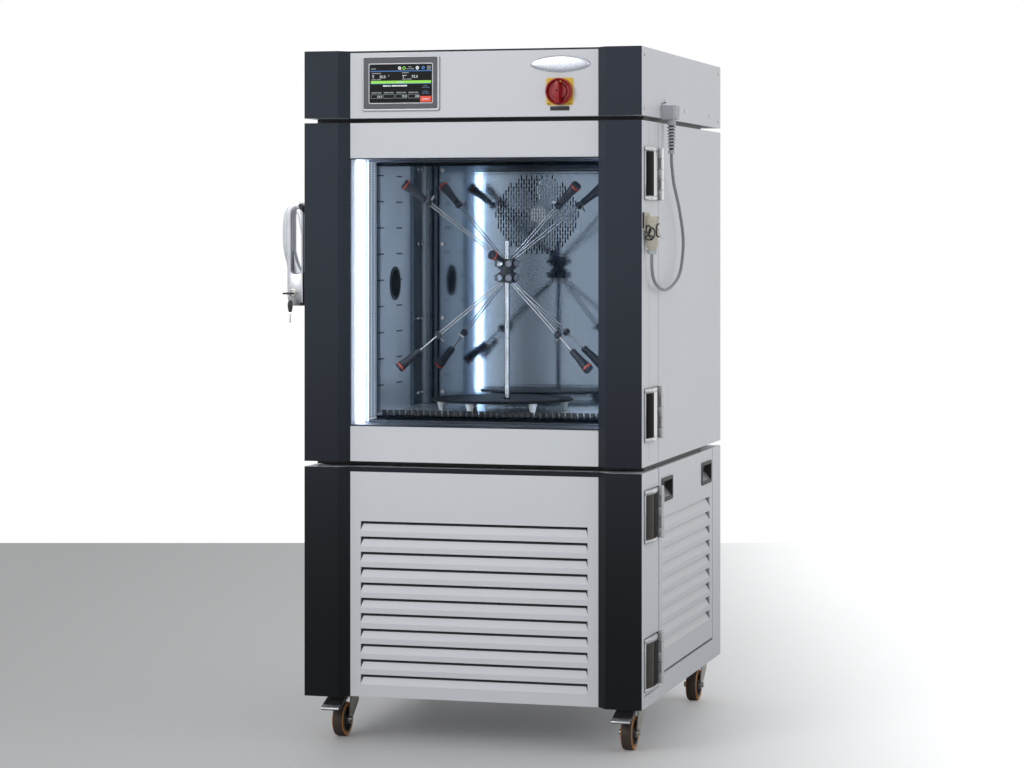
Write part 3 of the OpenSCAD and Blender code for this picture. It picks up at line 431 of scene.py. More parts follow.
def addLines(material, pitch, depth, wander):
    # Fine level waves pressed into a sheet, pitch and depth in mm
    tree = material.node_tree
    link = tree.links.new
    bump = [b for b in tree.nodes if b.type == "BUMP"][0]
    wave = addNode(tree, "ShaderNodeTexWave", {"Scale": 1000 / pitch * math.pi / 10, "Distortion": wander,
                                               "Detail Scale": 0.02}, bands_direction="Z")
    link(addNode(tree, "ShaderNodeTexCoord").outputs["Object"], wave.inputs["Vector"])
    press = addNode(tree, "ShaderNodeBump", {"Strength": 1.0, "Distance": depth / 1000})
    link(wave.outputs["Fac"], press.inputs["Height"])
    link(press.outputs[0], bump.inputs["Normal"])


def placeAlong(tree, axis):
    apart = addNode(tree, "ShaderNodeSeparateXYZ")
    tree.links.new(addNode(tree, "ShaderNodeTexCoord").outputs["Object"], apart.inputs[0])
    return apart.outputs[axis]


def paintLightIntoCoat(material, tone):
    # Multiplies the coat's colour by the tone that a socket gives: the way painted shade and painted reflection
    # bands go into a coat
    tree = material.node_tree
    link = tree.links.new
    colour = tree.nodes["Principled BSDF"].inputs["Base Color"]
    shade = addNode(tree, "ShaderNodeMix", {0: 1}, data_type="RGBA", blend_type="MULTIPLY")
    link(colour.links[0].from_socket, shade.inputs[6])
    link(tone, shade.inputs[7])
    link(shade.outputs[2], colour)


def paintShadeTowardsFloor(material, low, high, least):
    # Painted shade: the coat's colour turns darker towards the floor, between two heights in m, in place of light
    # that falls off lower down
    tree = material.node_tree
    rise = addNode(tree, "ShaderNodeMapRange", {"From Min": low, "From Max": high, "To Min": least},
                   interpolation_type="SMOOTHSTEP")
    tree.links.new(placeAlong(tree, "Z"), rise.inputs["Value"])
    paintLightIntoCoat(material, rise.outputs[0])


def paintReflectionBands(material, axis, stops):
    # Painted reflection: broad darker and lighter bands along one axis stand in for a darker room mirrored in the
    # steel: (place in m, tone) of each stop
    tree = material.node_tree
    first, last = stops[0][0], stops[-1][0]
    span = addNode(tree, "ShaderNodeMapRange", {"From Min": first, "From Max": last})
    tree.links.new(placeAlong(tree, axis), span.inputs["Value"])
    ramp = addNode(tree, "ShaderNodeValToRGB")
    ramp.color_ramp.interpolation = "EASE"
    while len(ramp.color_ramp.elements) < len(stops):
        ramp.color_ramp.elements.new(0.5)
    for element, (place, tone) in zip(ramp.color_ramp.elements, stops):
        element.position = (place - first) / (last - first)
        element.color = (tone, tone, tone, 1)
    tree.links.new(span.outputs[0], ramp.inputs[0])
    paintLightIntoCoat(material, ramp.outputs[0])


# Name: colour, roughness, metal, mottle (scale, spread), grain (scale, relief), and what else it has
finishTable = {
    "panelCoat": ((225, 227, 232), 0.42, 0, (3, 0.012), (900, 0.05)),
    "columnCoat": ((52, 57, 67), 0.5, 0, (4, 0.04), (900, 0.06), {"specular": 0.14}),
    "blackPlastic": ((30, 30, 32), 0.5, 0, (20, 0.1), (1500, 0.12)),
    "boardFoam": ((222, 206, 150), 0.9, 0, (90, 0.1), (500, 0.4)),
    "linerSteel": ((226, 234, 240), 0.22, 0.45, (5, 0.14), (60, 0.05),
                   {"stretch": (1, 1, 0.6), "roughSpread": 0.07}),
    "baffleSteel": ((160, 180, 202), 0.08, 1, (1.2, 0.05), (60, 0.02),
                    {"stretch": (6, 6, 0.35), "roughSpread": 0.03}),
    "polishedSteel": ((204, 205, 208), 0.2, 1, (10, 0.05), (900, 0.03)),
    "rodSteel": ((188, 190, 192), 0.22, 1, (40, 0.08), (400, 0.03)),
    "zincSteel": ((176, 174, 166), 0.34, 1, (40, 0.14), (300, 0.08)),
    "castAluminium": ((184, 187, 193), 0.32, 1, (30, 0.07), (800, 0.1)),
    "frameAluminium": ((150, 152, 157), 0.36, 0.9, (30, 0.05), (900, 0.05)),
    "finAluminium": ((170, 174, 178), 0.4, 1, (60, 0.12), (600, 0.1)),
    "heaterSteel": ((96, 84, 78), 0.42, 1, (30, 0.3), (300, 0.1)),
    "machineBlack": ((36, 37, 39), 0.34, 0, (12, 0.1), (500, 0.08)),
    "lightDiffuser": ((236, 244, 255), 0.5, 0, (40, 0.02), (900, 0.05),
                      {"glow": 9.0, "glowColour": (214, 232, 255)}),
    "sealRubber": ((28, 28, 29), 0.7, 0, (40, 0.15), (900, 0.15)),
    "screenGloss": ((8, 9, 11), 0.3, 0, (10, 0.2), (1200, 0.01), {"specular": 0.12}),
    "yellowPlastic": ((238, 196, 34), 0.4, 0, (40, 0.05), (1400, 0.06)),
    "redPlastic": ((160, 22, 26), 0.34, 0, (40, 0.06), (1400, 0.06)),
    "beigePlastic": ((196, 190, 174), 0.5, 0, (40, 0.05), (1400, 0.12)),
    "greyPlastic": ((178, 179, 182), 0.5, 0, (40, 0.05), (1400, 0.1)),
    "cordRubber": ((146, 148, 154), 0.48, 0, (120, 0.05), (1500, 0.1)),
    "discGrey": ((132, 138, 146), 0.36, 0.5, (60, 0.1), (900, 0.06)),
    "probeBlack": ((38, 42, 50), 0.34, 0, (60, 0.08), (900, 0.06)),
    "ringOrange": ((222, 74, 40), 0.4, 0, (60, 0.05), (900, 0.05)),
    "footWhite": ((226, 228, 226), 0.45, 0, (40, 0.04), (900, 0.05)),
    "brightScrew": ((206, 206, 204), 0.2, 1, (60, 0.1), (500, 0.05)),
    "strapSteel": ((66, 82, 96), 0.3, 0.7, (4, 0.1), (60, 0.05), {"stretch": (6, 6, 0.35)}),
    "postSteel": ((112, 124, 134), 0.24, 0.9, (4, 0.1), (60, 0.05), {"stretch": (6, 6, 0.35)}),
    "slotBlack": ((14, 15, 18), 0.6, 0, (60, 0.1), (900, 0.08)),
    # The spacer sheet glows a little: painted light from the strips beside it, though it is no lamp
    "spacerSheetPaintedGlow": ((206, 216, 228), 0.4, 0.3, (30, 0.04), (900, 0.05),
                    {"glow": 0.5, "glowColour": (206, 222, 242)}),
    "amberTyre": ((186, 116, 22), 0.5, 0, (60, 0.16), (700, 0.15)),
    "treadBrown": ((58, 46, 40), 0.62, 0, (50, 0.25), (500, 0.25)),
    "hubGrey": ((92, 94, 100), 0.36, 0.6, (50, 0.1), (700, 0.1)),
    "hubDark": ((40, 42, 46), 0.45, 0, (50, 0.15), (700, 0.1)),
    "louvreShadeBlack": ((16, 16, 17), 0.95, 0, (60, 0.25), (400, 0.5), {"specular": 0.1}),
    "beddingGrey": ((44, 50, 58), 0.5, 0, (30, 0.15), (900, 0.08)),
    "plateDark": ((26, 29, 34), 0.6, 0, (30, 0.12), (900, 0.08), {"specular": 0.15}),
    "cellBlue": ((74, 104, 150), 0.5, 0, (50, 0.15), (900, 0.06)),
    "brassPin": ((206, 160, 70), 0.3, 1, (50, 0.1), (700, 0.05)),
    "ovalSilver": ((200, 204, 214), 0.26, 0.75, (30, 0.03), (900, 0.03), {"coat": 0.6}),
    "ovalRim": ((150, 152, 158), 0.3, 0.8, (30, 0.06), (900, 0.04)),
    # Painted shade and painted reflection on the hinges: black for the dark side of the covers and the gap at the
    # leaves, brown for the lower covers
    "hingeShadeBlack": ((15, 14, 14), 0.6, 0, (14, 0.1), (120, 0.05), {"specular": 0.06, "stretch": (1, 1, 6)}),
    "hingeReflectionBrown": ((66, 61, 56), 0.5, 0, (14, 0.14), (120, 0.05), {"specular": 0.1, "stretch": (1, 1, 6)}),
    "glandGrey": ((198, 202, 206), 0.45, 0, (40, 0.04), (1200, 0.06)),
    "outletGrey": ((192, 194, 199), 0.48, 0, (30, 0.03), (1200, 0.06)),
    "reliefDark": ((66, 68, 74), 0.55, 0, (30, 0.08), (900, 0.06)),
    "seamGrey": ((120, 121, 128), 0.5, 0, (30, 0.08), (900, 0.06)),
    "pullHighlightGrey": ((128, 126, 134), 0.4, 0, (40, 0.08), (900, 0.08)),
    "frameSlate": ((84, 86, 95), 0.42, 0, (30, 0.04), (1000, 0.06)),
    "fanSteel": ((214, 218, 222), 0.24, 0.8, (90, 0.25), (300, 0.3)),
}
screenTones = {"screenWhite": (226, 236, 240), "screenGreen": (146, 232, 66), "screenBlue": (20, 112, 186),
               "screenRed": (236, 66, 36), "screenGrey": (128, 140, 144), "screenDim": (34, 70, 104)}
for screenName, screenTone in screenTones.items():
    finishTable[screenName] = ([c * 0.25 for c in screenTone], 0.3, 0, (300, 0.05), (1200, 0.02),
                               {"glow": 0.85, "glowColour": screenTone})
finishes = {name: makeFinish(name, *row) for name, row in finishTable.items()}
finishes["paneGlass"] = makeGlass("paneGlass", tint=(70, 96, 120), least=0.006)
addLines(finishes["baffleSteel"], pitch=7.5, depth=0.012, wander=0.4)
# Painted reflection bands across the baffle
paintReflectionBands(finishes["baffleSteel"], "X", [(-0.25, 0.4), (-0.12, 0.9), (0.0, 0.3), (0.12, 0.6)])

# Painted shade: the columns and the panels are coloured darker towards the floor
paintShadeTowardsFloor(finishes["columnCoat"], low=0.15, high=1.25, least=0.12)
paintShadeTowardsFloor(finishes["panelCoat"], low=0.05, high=0.75, least=0.86)

coats = {
    "panelCoat": ["base_frame", "lower_frame", "rear_panel", "chamber_shell", "control_box", "control_panel",
                  "right_side_panel", "left_side_panel", "door_front_panel", "door_casing", "lower_front_panel",
                  "lower_door_casing"],
    "columnCoat": ["control_columns", "door_columns", "lower_columns"],
    "blackPlastic": ["spacer_plinths", "port_sleeve", "condenser_fan", "probes", "handle_base", "brake_pedal_fl",
                     "brake_pedal_fr"],
    "boardFoam": ["insulation", "door_foam"],
    "linerSteel": ["liner"],
    "baffleSteel": ["air_baffle"],
    "fanSteel": ["fan_rotor"],
    "polishedSteel": ["cabinet_hinges", "door_hinges", "lower_door_hinges", "keys"],
    "rodSteel": ["probe_arms"],
    "zincSteel": ["castor_fork_fl", "castor_fork_fr", "castor_fork_rl", "castor_fork_rr"],
    "castAluminium": ["handle_grip"],
    "frameSlate": ["display_frame"],
    "spacerSheetPaintedGlow": ["pane_spacers"],
    "finAluminium": ["evaporator", "condenser"],
    "heaterSteel": ["heater"],
    "machineBlack": ["fan_motor", "compressor", "probe_stand", "probe_head"],
    "lightDiffuser": ["light_bars"],
    "sealRubber": ["door_seal"],
    "screenGloss": ["display_screen"],
    "yellowPlastic": ["switch_plate"],
    "redPlastic": ["switch_knob"],
    "beigePlastic": ["connector_socket", "connector_plug"],
    "greyPlastic": ["cord_outlet"],
    "amberTyre": ["castor_wheel_fl", "castor_wheel_fr", "castor_wheel_rl", "castor_wheel_rr"],
    "paneGlass": ["door_glass"],
}
for coat, names in coats.items():
    for name in names:
        nodes[name].data.materials.clear()
        nodes[name].data.materials.append(finishes[coat])
print("finishes made")

# Plug on the lead, and the outlet block with its strain relief
leadEnds = {
    "plugCentre": (416, 40), "plugLow": 1142.2, "plugTop": 1185.8, "glandLow": 1132.2,
    "outletAxis": (421, 220), "outletLow": 1442.2, "outletTop": 1475, "outletFace": 435.6,
    "reliefLow": 1363.2, "rings": 7, "ringStep": 7.4, "ringLean": 11,
}


def makePlug():
    e = leadEnds
    x, y = e["plugCentre"]
    low, top = e["plugLow"], e["plugTop"]
    mesh = bmesh.new()
    sizes = ((low, 16.5, 22), (low + 6, 19, 25), (low + 16, 22, 31), (low + 22, 23, 34), (top, 23, 34))
    addLoft(mesh, [[(u, v, z) for u, v in roundedRect(wide, deep, 4, x, y, 4)] for z, wide, deep in sizes])
    for z in (low + 28, low + 33):
        addRing(mesh, roundedRect(23.6, 34.6, 4.2, x, y, 4), roundedRect(22, 33, 3.6, x, y, 4), "z", z, z + 1.6, 0.2)
    # Gland nut in two tiers
    gland = e["glandLow"]
    nut = gland + 8
    addTurned(mesh, [(0, low), (11.6, low), (12.2, low - 1), (12.2, nut + 1), (11.4, nut), (0, nut)], (x - 1, y, 0),
              "z", 8, 1)
    addTurned(mesh, [(0, nut + 0.2), (11, nut), (10.8, gland + 4), (8.6, gland + 0.4), (4, gland)], (x - 1, y, 0),
              "z", 28, 1)
    return finishPiece(mesh, "plugBody", "door", ["beigePlastic", "glandGrey"], ["connector_plug"])


def makeOutlet():
    e = leadEnds
    x, y = e["outletAxis"]
    low, top = e["outletLow"], e["outletTop"]
    mesh = bmesh.new()
    face = e["outletFace"]
    plan = [(400.2, y - 21.8), (430, y - 21.8), (face, y - 17), (face + 0.2, y + 21.8), (400.2, y + 21.8)]
    addSlab(mesh, plan, "z", low, top - 0.4, 1.4)
    # Sloping joint of the block's cover, and the hook over its top edge
    joint = [(y - 20, low + 1), (y + 6, low + 14), (y + 6, top - 4), (y + 7, top - 4), (y + 7, low + 13.6),
             (y - 19, low + 0.4)]
    addSlab(mesh, joint, "x", face, face + 0.35, 0, 1)
    hook = [(403, y - 18, top - 1), (403.4, y - 18, top + 4), (408, y - 18, top + 6), (413, y - 17, top + 5)]
    addTube(mesh, hook, 1.3, 8, 1)
    neck = [(0, 0), (10.6, 0), (10.9, -2), (10.4, -11), (9, -13.4), (6, -13.6), (0, -13.6)]
    addTurned(mesh, [(r, low + z) for r, z in neck], (x, y, 0))
    bottom = e["reliefLow"]
    core = [(4.2, low - 13), (6, low - 13), (5.4, bottom + 6), (4.2, bottom + 6), (4.2, low - 13)]
    addTurned(mesh, core, (x, y, 0), "z", 24, 2)
    for k in range(e["rings"]):
        r = 10.2 - 0.3 * k
        middle = low - 18 - e["ringStep"] * k
        lean = Matrix.Translation((x, y, middle)) @ Matrix.Rotation(math.radians(e["ringLean"]), 4, "X")
        ring = [(5, -1.7), (r - 0.8, -1.8), (r, -1), (r, 1), (r - 0.8, 1.8), (5, 1.7), (5, -1.7)]
        addTurned(mesh, ring, (0, 0, 0), "z", 28, 0, lean)
    end = [(3.9, 0), (6.8, 0), (7.4, 1), (7.4, 7), (6.4, 8.4), (3.9, 8.4)]
    addTurned(mesh, [(r, bottom + z) for r, z in end], (x, y, 0), "z", 28)
    finishPiece(mesh, "outletBlock", "cabinet", ["outletGrey", "seamGrey", "reliefDark"],
                ["cord_outlet"])


# Lead from the control box to the door
lead = {
    "route": [(421, 220, 1378), (421, 220, 1361), (421, 222, 1341), (421, 232, 1318), (420, 250, 1295),
              (420, 275, 1271), (420, 302, 1246), (419, 328, 1220), (419, 349, 1190), (419, 360, 1157),
              (418, 356, 1124), (418, 338, 1096), (418, 308, 1076), (417, 273, 1064), (417, 236, 1056),
              (417, 198, 1051), (416, 160, 1050), (416, 123, 1054), (416, 88, 1062), (415, 60, 1075),
              (415, 45, 1093), (415, 40, 1112), (415, 40, 1131.8)],
    "diameter": 7.2, "steps": 6, "bendFrom": (418, 338, 1096), "bendTo": (416, 88, 1062),
}


def smoothRoute(points, steps):
    points = [Vector(p) for p in points]
    last = len(points) - 1
    made = []
    for i in range(last):
        a, b, c, d = (points[max(0, min(last, i + k))] for k in (-1, 0, 1, 2))
        for k in range(steps):
            t = k / steps
            made.append(0.5 * (2 * b + (c - a) * t + (2 * a - 5 * b + 4 * c - d) * t ** 2
                               + (3 * b - a - 3 * c + d) * t ** 3))
    made.append(points[last])
    return made


def makeLead():
    route = smoothRoute(lead["route"], lead["steps"])
    mesh = bmesh.new()
    addTube(mesh, route, lead["diameter"] / 2, 16)
    piece = finishPiece(mesh, "doorLead", None, ["cordRubber"], ["cord"])
    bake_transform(piece)


plugPiece = makePlug()
makeOutlet()
makeLead()


# Window: outer pane, and the inner unit, whose rear panes show only at their edges
window = {
    "halfWidth": 294.9, "low": 734.1, "high": 1352.9, "outer": 24, "thickness": 4,
    "innerPanes": (134, 154.67, 175.33, 196), "rim": 14,
}


def makeWindow():
    mesh = bmesh.new()
    w = window
    addBlock(mesh, (-w["halfWidth"], w["outer"], w["low"]),
             (w["halfWidth"], w["outer"] + w["thickness"], w["high"]), 0.6)
    x, low, high = w["halfWidth"] - 1.9, w["low"] + 1.9, w["high"] - 1.9
    for i, y in enumerate(w["innerPanes"]):
        back = y + w["thickness"]
        if i == 0:
            addBlock(mesh, (-x, y, low), (x, back, high), 0.6)
            continue
        for side in (-1, 1):
            ends = sorted((side * x, side * (x - w["rim"])))
            addBlock(mesh, (ends[0], y, low), (ends[1], back, high), 0.6)
        for z in (low, high - w["rim"]):
            addBlock(mesh, (w["rim"] - x, y, z), (x - w["rim"], back, z + w["rim"]), 0.6)
    finishPiece(mesh, "windowPanes", "door", ["paneGlass"], ["door_glass"])


makeWindow()

# Test space: slots and rails of the side walls, screws, and the comb on the sill
space = {
    "wall": 292, "floor": 753, "ceiling": 1355,
    "slotLength": 46, "slotHeight": 3.6, "firstSlot": 242, "slotColumns": 4, "slotPitch": 144,
    "slotTop": 1317, "slotRows": 9, "slotStep": 62.5,
    "screwTop": 1336, "screwStep": 184, "screwRows": 4, "strapScrews": (289.4, 514), "baffleScrews": (243, 590),
    "combPitch": 15, "combTile": 11.5, "combFront": 202.5, "combLow": 738, "combHigh": 761,
}


def makeWallSlots():
    s = space
    for side, word in leftAndRight:
        seed = bmesh.new()
        outline = roundedRect(s["slotLength"], s["slotHeight"], s["slotHeight"] / 2 - 0.01)
        addSlab(seed, outline, "x", -0.35, 0.35)
        repeatPiece(seed, "wallSlots" + word, "cabinet", "slotBlack", s["slotColumns"], (0, s["slotPitch"], 0),
                    s["slotRows"], (0, 0, -s["slotStep"]), centre=(side * s["wall"], s["firstSlot"], s["slotTop"]))


def makeWallRails():
    s = space
    low, high = s["floor"] + 2, s["ceiling"] - 2
    for side, word in leftAndRight:
        mesh = bmesh.new()
        flip = mirrored(side)
        # Plan of the strap: lip, flat and fold, then the strip that closes the gap beside the baffle
        strap = [(292, 474), (284, 476), (283, 480), (285, 489), (289.4, 495), (289.4, 566), (292, 567)]
        addSlab(mesh, strap, "z", low, high, 0, 0, flip)
        closing = [(292, 604), (280, 604), (277, 592), (272, 592), (269, 602), (266, 602), (263, 591),
                   (258, 591), (254.5, 600), (254.5, 612), (292, 612)]
        addSlab(mesh, closing, "z", low, high, 0, 1, flip)
        finishPiece(mesh, "wallRail" + word, "cabinet", ["strapSteel", "postSteel"], sharpness=50)


def boltHead(mesh, radius, height, axis, face):
    # A round-edged head whose face looks along the axis
    sign = 1 if face > 0 else -1
    profile = [(radius, 0), (radius, height * 0.6), (radius * 0.86, height), (radius * 0.45, height),
               (radius * 0.4, height * 0.7), (0, height * 0.7)]
    addTurned(mesh, [(r, sign * a) for r, a in profile], (0, 0, 0), axis, 14)


def makeSpaceScrews():
    s = space
    for side, word in leftAndRight:
        seed = bmesh.new()
        boltHead(seed, 5.2, 8, "x", -side)
        x, y = s["strapScrews"]
        repeatPiece(seed, "strapScrews" + word, "cabinet", "brightScrew", 2, (0, 34, 0), s["screwRows"],
                    (0, 0, -s["screwStep"]), centre=(side * x, y, s["screwTop"]))
        seed = bmesh.new()
        boltHead(seed, 5.6, 5, "y", -1)
        x, y = s["baffleScrews"]
        repeatPiece(seed, "baffleScrews" + word, "cabinet", "brightScrew", 1, (0, 0, 0), s["screwRows"],
                    (0, 0, -s["screwStep"]), centre=(side * x, y, s["screwTop"]))


def makeSillComb():
    s = space
    count = int(2 * (s["wall"] - 8) / s["combPitch"])
    seed = bmesh.new()
    height = s["combHigh"] - s["combLow"]
    tile = [(-s["combTile"] / 2, -height / 2), (s["combTile"] / 2, -height / 2),
            (s["combTile"] / 2 - 2, height / 2), (-s["combTile"] / 2 - 2, height / 2)]
    addSlab(seed, tile, "y", -2.5, 2.5, 0.8, 0, Matrix.Rotation(math.radians(12), 4, "Z"))
    repeatPiece(seed, "sillComb", "cabinet", "slotBlack", count, (s["combPitch"], 0, 0),
                centre=(-s["combPitch"] * (count - 1) / 2, s["combFront"] + 3.5, (s["combHigh"] + s["combLow"]) / 2))
    mesh = bmesh.new()
    base = [(202, 729.5), (209.5, 729.5), (209.5, 740), (206, 742), (202, 738)]
    addSlab(mesh, base, "x", -s["wall"] + 1, s["wall"] - 1, 0.5)
    finishPiece(mesh, "sillStrip", "cabinet", ["slotBlack"])


makeWallSlots()
makeWallRails()
makeSpaceScrews()
makeSillComb()
print("test space dressed")

# Probe stand
stand = {
    "post": (-8, 345), "postTop": 1161, "postRadius": 6,
    "plate": (-30, 385), "plateRadius": 170, "plateLow": 777, "plateTop": 783,
    "feet": 6, "feetTurn": 14, "feetRadius": 148, "floor": 753.2,
    "head": 1090, "headRadius": 22.5, "tierFrom": 4, "tierTo": 28.5, "tier": 17, "screws": 8, "firstScrew": 22,
    "probeLength": 68, "collarLength": 14, "frontProbe": (-32, 290, 1129), "rodGap": 6.2, "rodRadius": 1.5,
    "necks": (2, 50), "probeTurn": 40,
    "tips": [(-224, -113, 208), (201, -113, 203), (-199, 125, 207), (206, 125, 203),
             (-237, -113, -232), (230, -113, -230), (-210, 125, -236), (206, 125, -232)],
}


def makeStand():
    s = stand
    mesh = bmesh.new()
    floor = s["floor"]
    r, low, top = s["plateRadius"], s["plateLow"], s["plateTop"]
    addTurned(mesh, [(0, low), (r - 4, low), (r - 1, low + 1.5), (r, low + 4), (r - 1, top - 1.2), (r - 3, top),
                     (r - 9, top), (r - 10, top - 0.8), (r - 14, top - 0.8), (r - 15, top), (0, top)],
              (*s["plate"], 0), steps=96)
    for k in range(s["feet"]):
        a = math.radians(s["feetTurn"] + 360 / s["feet"] * k)
        place = (s["plate"][0] + s["feetRadius"] * math.cos(a), s["plate"][1] + s["feetRadius"] * math.sin(a), 0)
        addTurned(mesh, [(0, floor), (5, floor), (6, floor + 1), (10.6, low - 3), (11, low)], place, "z", 24, 1)
    x, y = s["post"]
    r, high = s["postRadius"], s["postTop"]
    addTurned(mesh, [(r, top), (r, high - 1), (r - 1, high), (0, high)], (x, y, 0), "z", 32, 2)
    addTurned(mesh, [(r, top), (9, top), (9, top + 3), (r, top + 4)], (x, y, 0))
    finishPiece(mesh, "probeStand", "cabinet", ["plateDark", "footWhite", "rodSteel"],
                ["probe_stand"])


def makeHead():
    s = stand
    mesh = bmesh.new()
    centre = (*s["post"], s["head"])
    r, near, far = s["headRadius"], s["tierFrom"], s["tierTo"]
    for sign in (-1, 1):
        tier = [(6.1, near), (r - 1.5, near), (r, near + 1.5), (r, 14), (r - 1.2, 15), (r - 1.2, 19), (r, 20),
                (r, far - 2), (r - 2, far), (6.1, far)]
        addTurned(mesh, [(a, sign * b) for a, b in tier], centre, "z", 40)
    addTurned(mesh, [(6.1, -5), (16, -5), (16, 5), (6.1, 5)], centre, "z", 32)
    for sign in (-1, 1):
        for k in range(s["screws"]):
            a = math.radians(s["firstScrew"] + 45 * k)
            out = Vector((math.cos(a), math.sin(a), 0))
            place = Vector(centre) + Vector((0, 0, sign * s["tier"])) + out * (r - 1)
            turn = aimed(place, place + out)
            paint = 2 if k == 5 and sign > 0 else 1
            addTurned(mesh, [(0, 0), (2.6, 0), (2.6, 3.4), (6.6, 3.6), (7.6, 4.4), (7.6, 7.6), (6.8, 8.8), (0, 8.8)],
                      (0, 0, 0), "z", 20, paint, turn)
            if k % 2 == 0:
                addBlock(mesh, (-0.7, -5, 0.6), (0.7, 5, 1.6), 0.2, 2, turn)
    finishPiece(mesh, "probeHead", "probe_carrier", ["probeBlack", "discGrey", "brightScrew"],
                ["probe_head"])


def armOf(tip):
    # Start at its tier of the head, end, and the neck between collar and probe
    head = Vector((*stand["post"], stand["head"]))
    upper = tip[2] > 0
    start = head + Vector((0, 0, stand["tier"] if upper else -stand["tier"]))
    return start, head + Vector(tip), stand["necks"][0 if upper else 1]


def makeRods():
    s = stand
    mesh = bmesh.new()
    for tip in s["tips"]:
        start, end, neck = armOf(tip)
        along = (end - start).normalized()
        apart = along.cross(Vector((0, 1, 0))).normalized() * s["rodGap"] / 2
        reach = (end - start).length - s["probeLength"] - neck - s["collarLength"] / 2
        for side in (-1, 1):
            first = start + along * (s["headRadius"] - 3) + apart * side
            last = start + along * reach + apart * side
            addTube(mesh, [first, first.lerp(last, 0.5), last], s["rodRadius"], 12, 0)
    finishPiece(mesh, "probeRods", "probe_carrier", ["rodSteel"], ["probe_arms"])


def makeProbes():
    s = stand
    mesh = bmesh.new()
    for index, tip in enumerate(s["tips"]):
        start, end, neck = armOf(tip)
        along = (end - start).normalized()
        base = (end - start).length - s["probeLength"]
        turn = aimed(start + along * base, end, s["probeTurn"] * index)
        # Body with its waist, groove and end cap
        addTurned(mesh, [(0, 0), (6, 0), (8, 1.2), (8.4, 5), (8.2, 12), (8.8, 26), (10.4, 44), (12, 57), (12.3, 60)],
                  (0, 0, 0), "z", 28, 0, turn)
        addTurned(mesh, [(11.4, 60), (12.5, 60.2), (12.5, 62.8), (11.4, 63)], (0, 0, 0), "z", 28, 1, turn)
        addTurned(mesh, [(11.6, 62.6), (12.2, 63.2), (12.2, 66.4), (11.2, 68), (9.4, 68), (9, 67.2), (0, 67.2)],
                  (0, 0, 0), "z", 28, 0, turn)
        for k in (0, 1):
            slotTurn = turn @ Matrix.Rotation(math.pi * k, 4, "Z")
            addBlock(mesh, (-1.1, 8.2, 20), (1.1, 9.6, 33), 0.4, 0, slotTurn)
        collar = aimed(start + along * (base - neck - s["collarLength"]), end, s["probeTurn"] * index)
        addTurned(mesh, [(2, 0.4), (5.5, 0.4), (8.2, 1.6), (9.2, 4), (9.2, 5.4), (8.6, 6), (8.6, 8), (9.2, 8.6),
                         (9.2, 10), (8.2, 12.4), (5.5, 13.6), (2, 13.6)], (0, 0, 0), "z", 24, 0, collar)
        pin = [(0, -0.5), (2.1, -0.5), (2.1, neck + 1), (0, neck + 1)]
        addTurned(mesh, pin, (0, 0, s["collarLength"]), "z", 14, 2, collar)
        # Thumb screw with its cross bar
        addTurned(mesh, [(0, 8), (2, 8), (2, 17), (0, 17)], (0, 0, 7), "y", 12, 2, collar)
        bar = [(0, -8.6), (1.9, -8), (2.3, -6), (2.3, 6), (1.9, 8), (0, 8.6)]
        addTurned(mesh, bar, (0, 18, 7), "x", 12, 2, collar)
    # Ninth probe: short, clamped on the front of the head
    start = Vector((*s["post"], s["head"])) + Vector((-6, -18, 24))
    end = Vector(s["frontProbe"])
    turn = aimed(start, end)
    reach = (end - start).length
    grip = [(0, 0), (4, 0), (7, 4), (8.4, reach * 0.4), (10.4, reach - 9), (11.4, reach - 7.4)]
    band = [(10.8, reach - 7.4), (11.9, reach - 7.2), (11.9, reach - 4.8), (10.8, reach - 4.6)]
    cap = [(11, reach - 4.8), (11.5, reach - 4.2), (11.3, reach - 1), (10.2, reach), (8.6, reach), (8.2, reach - 1),
           (0, reach - 1)]
    for profile, paint in ((grip, 0), (band, 1), (cap, 0)):
        addTurned(mesh, profile, (0, 0, 0), "z", 28, paint, turn)
    finishPiece(mesh, "probeBodies", "probe_carrier", ["probeBlack", "ringOrange", "brightScrew"],
                ["probes"])


makeStand()
makeHead()
makeRods()
makeProbes()
print("probe stand made")


# Between the panes: spacer bars with rows of cells, light strips, and the bedding of the window
tunnel = {
    "cellRows": 100, "cellStep": 6, "firstCell": 1342, "cellDepth": 12, "cellHeight": 3.0,
    "spacerFace": 287.9, "firstSpacer": 147.5, "spacerStep": 20.67, "spacerEdge": 293, "spacerThick": 16.4,
    "low": 736, "high": 1351, "stripFront": 64, "stripBack": 126, "stripEdge": 294.8, "stripFace": 290.8,
}


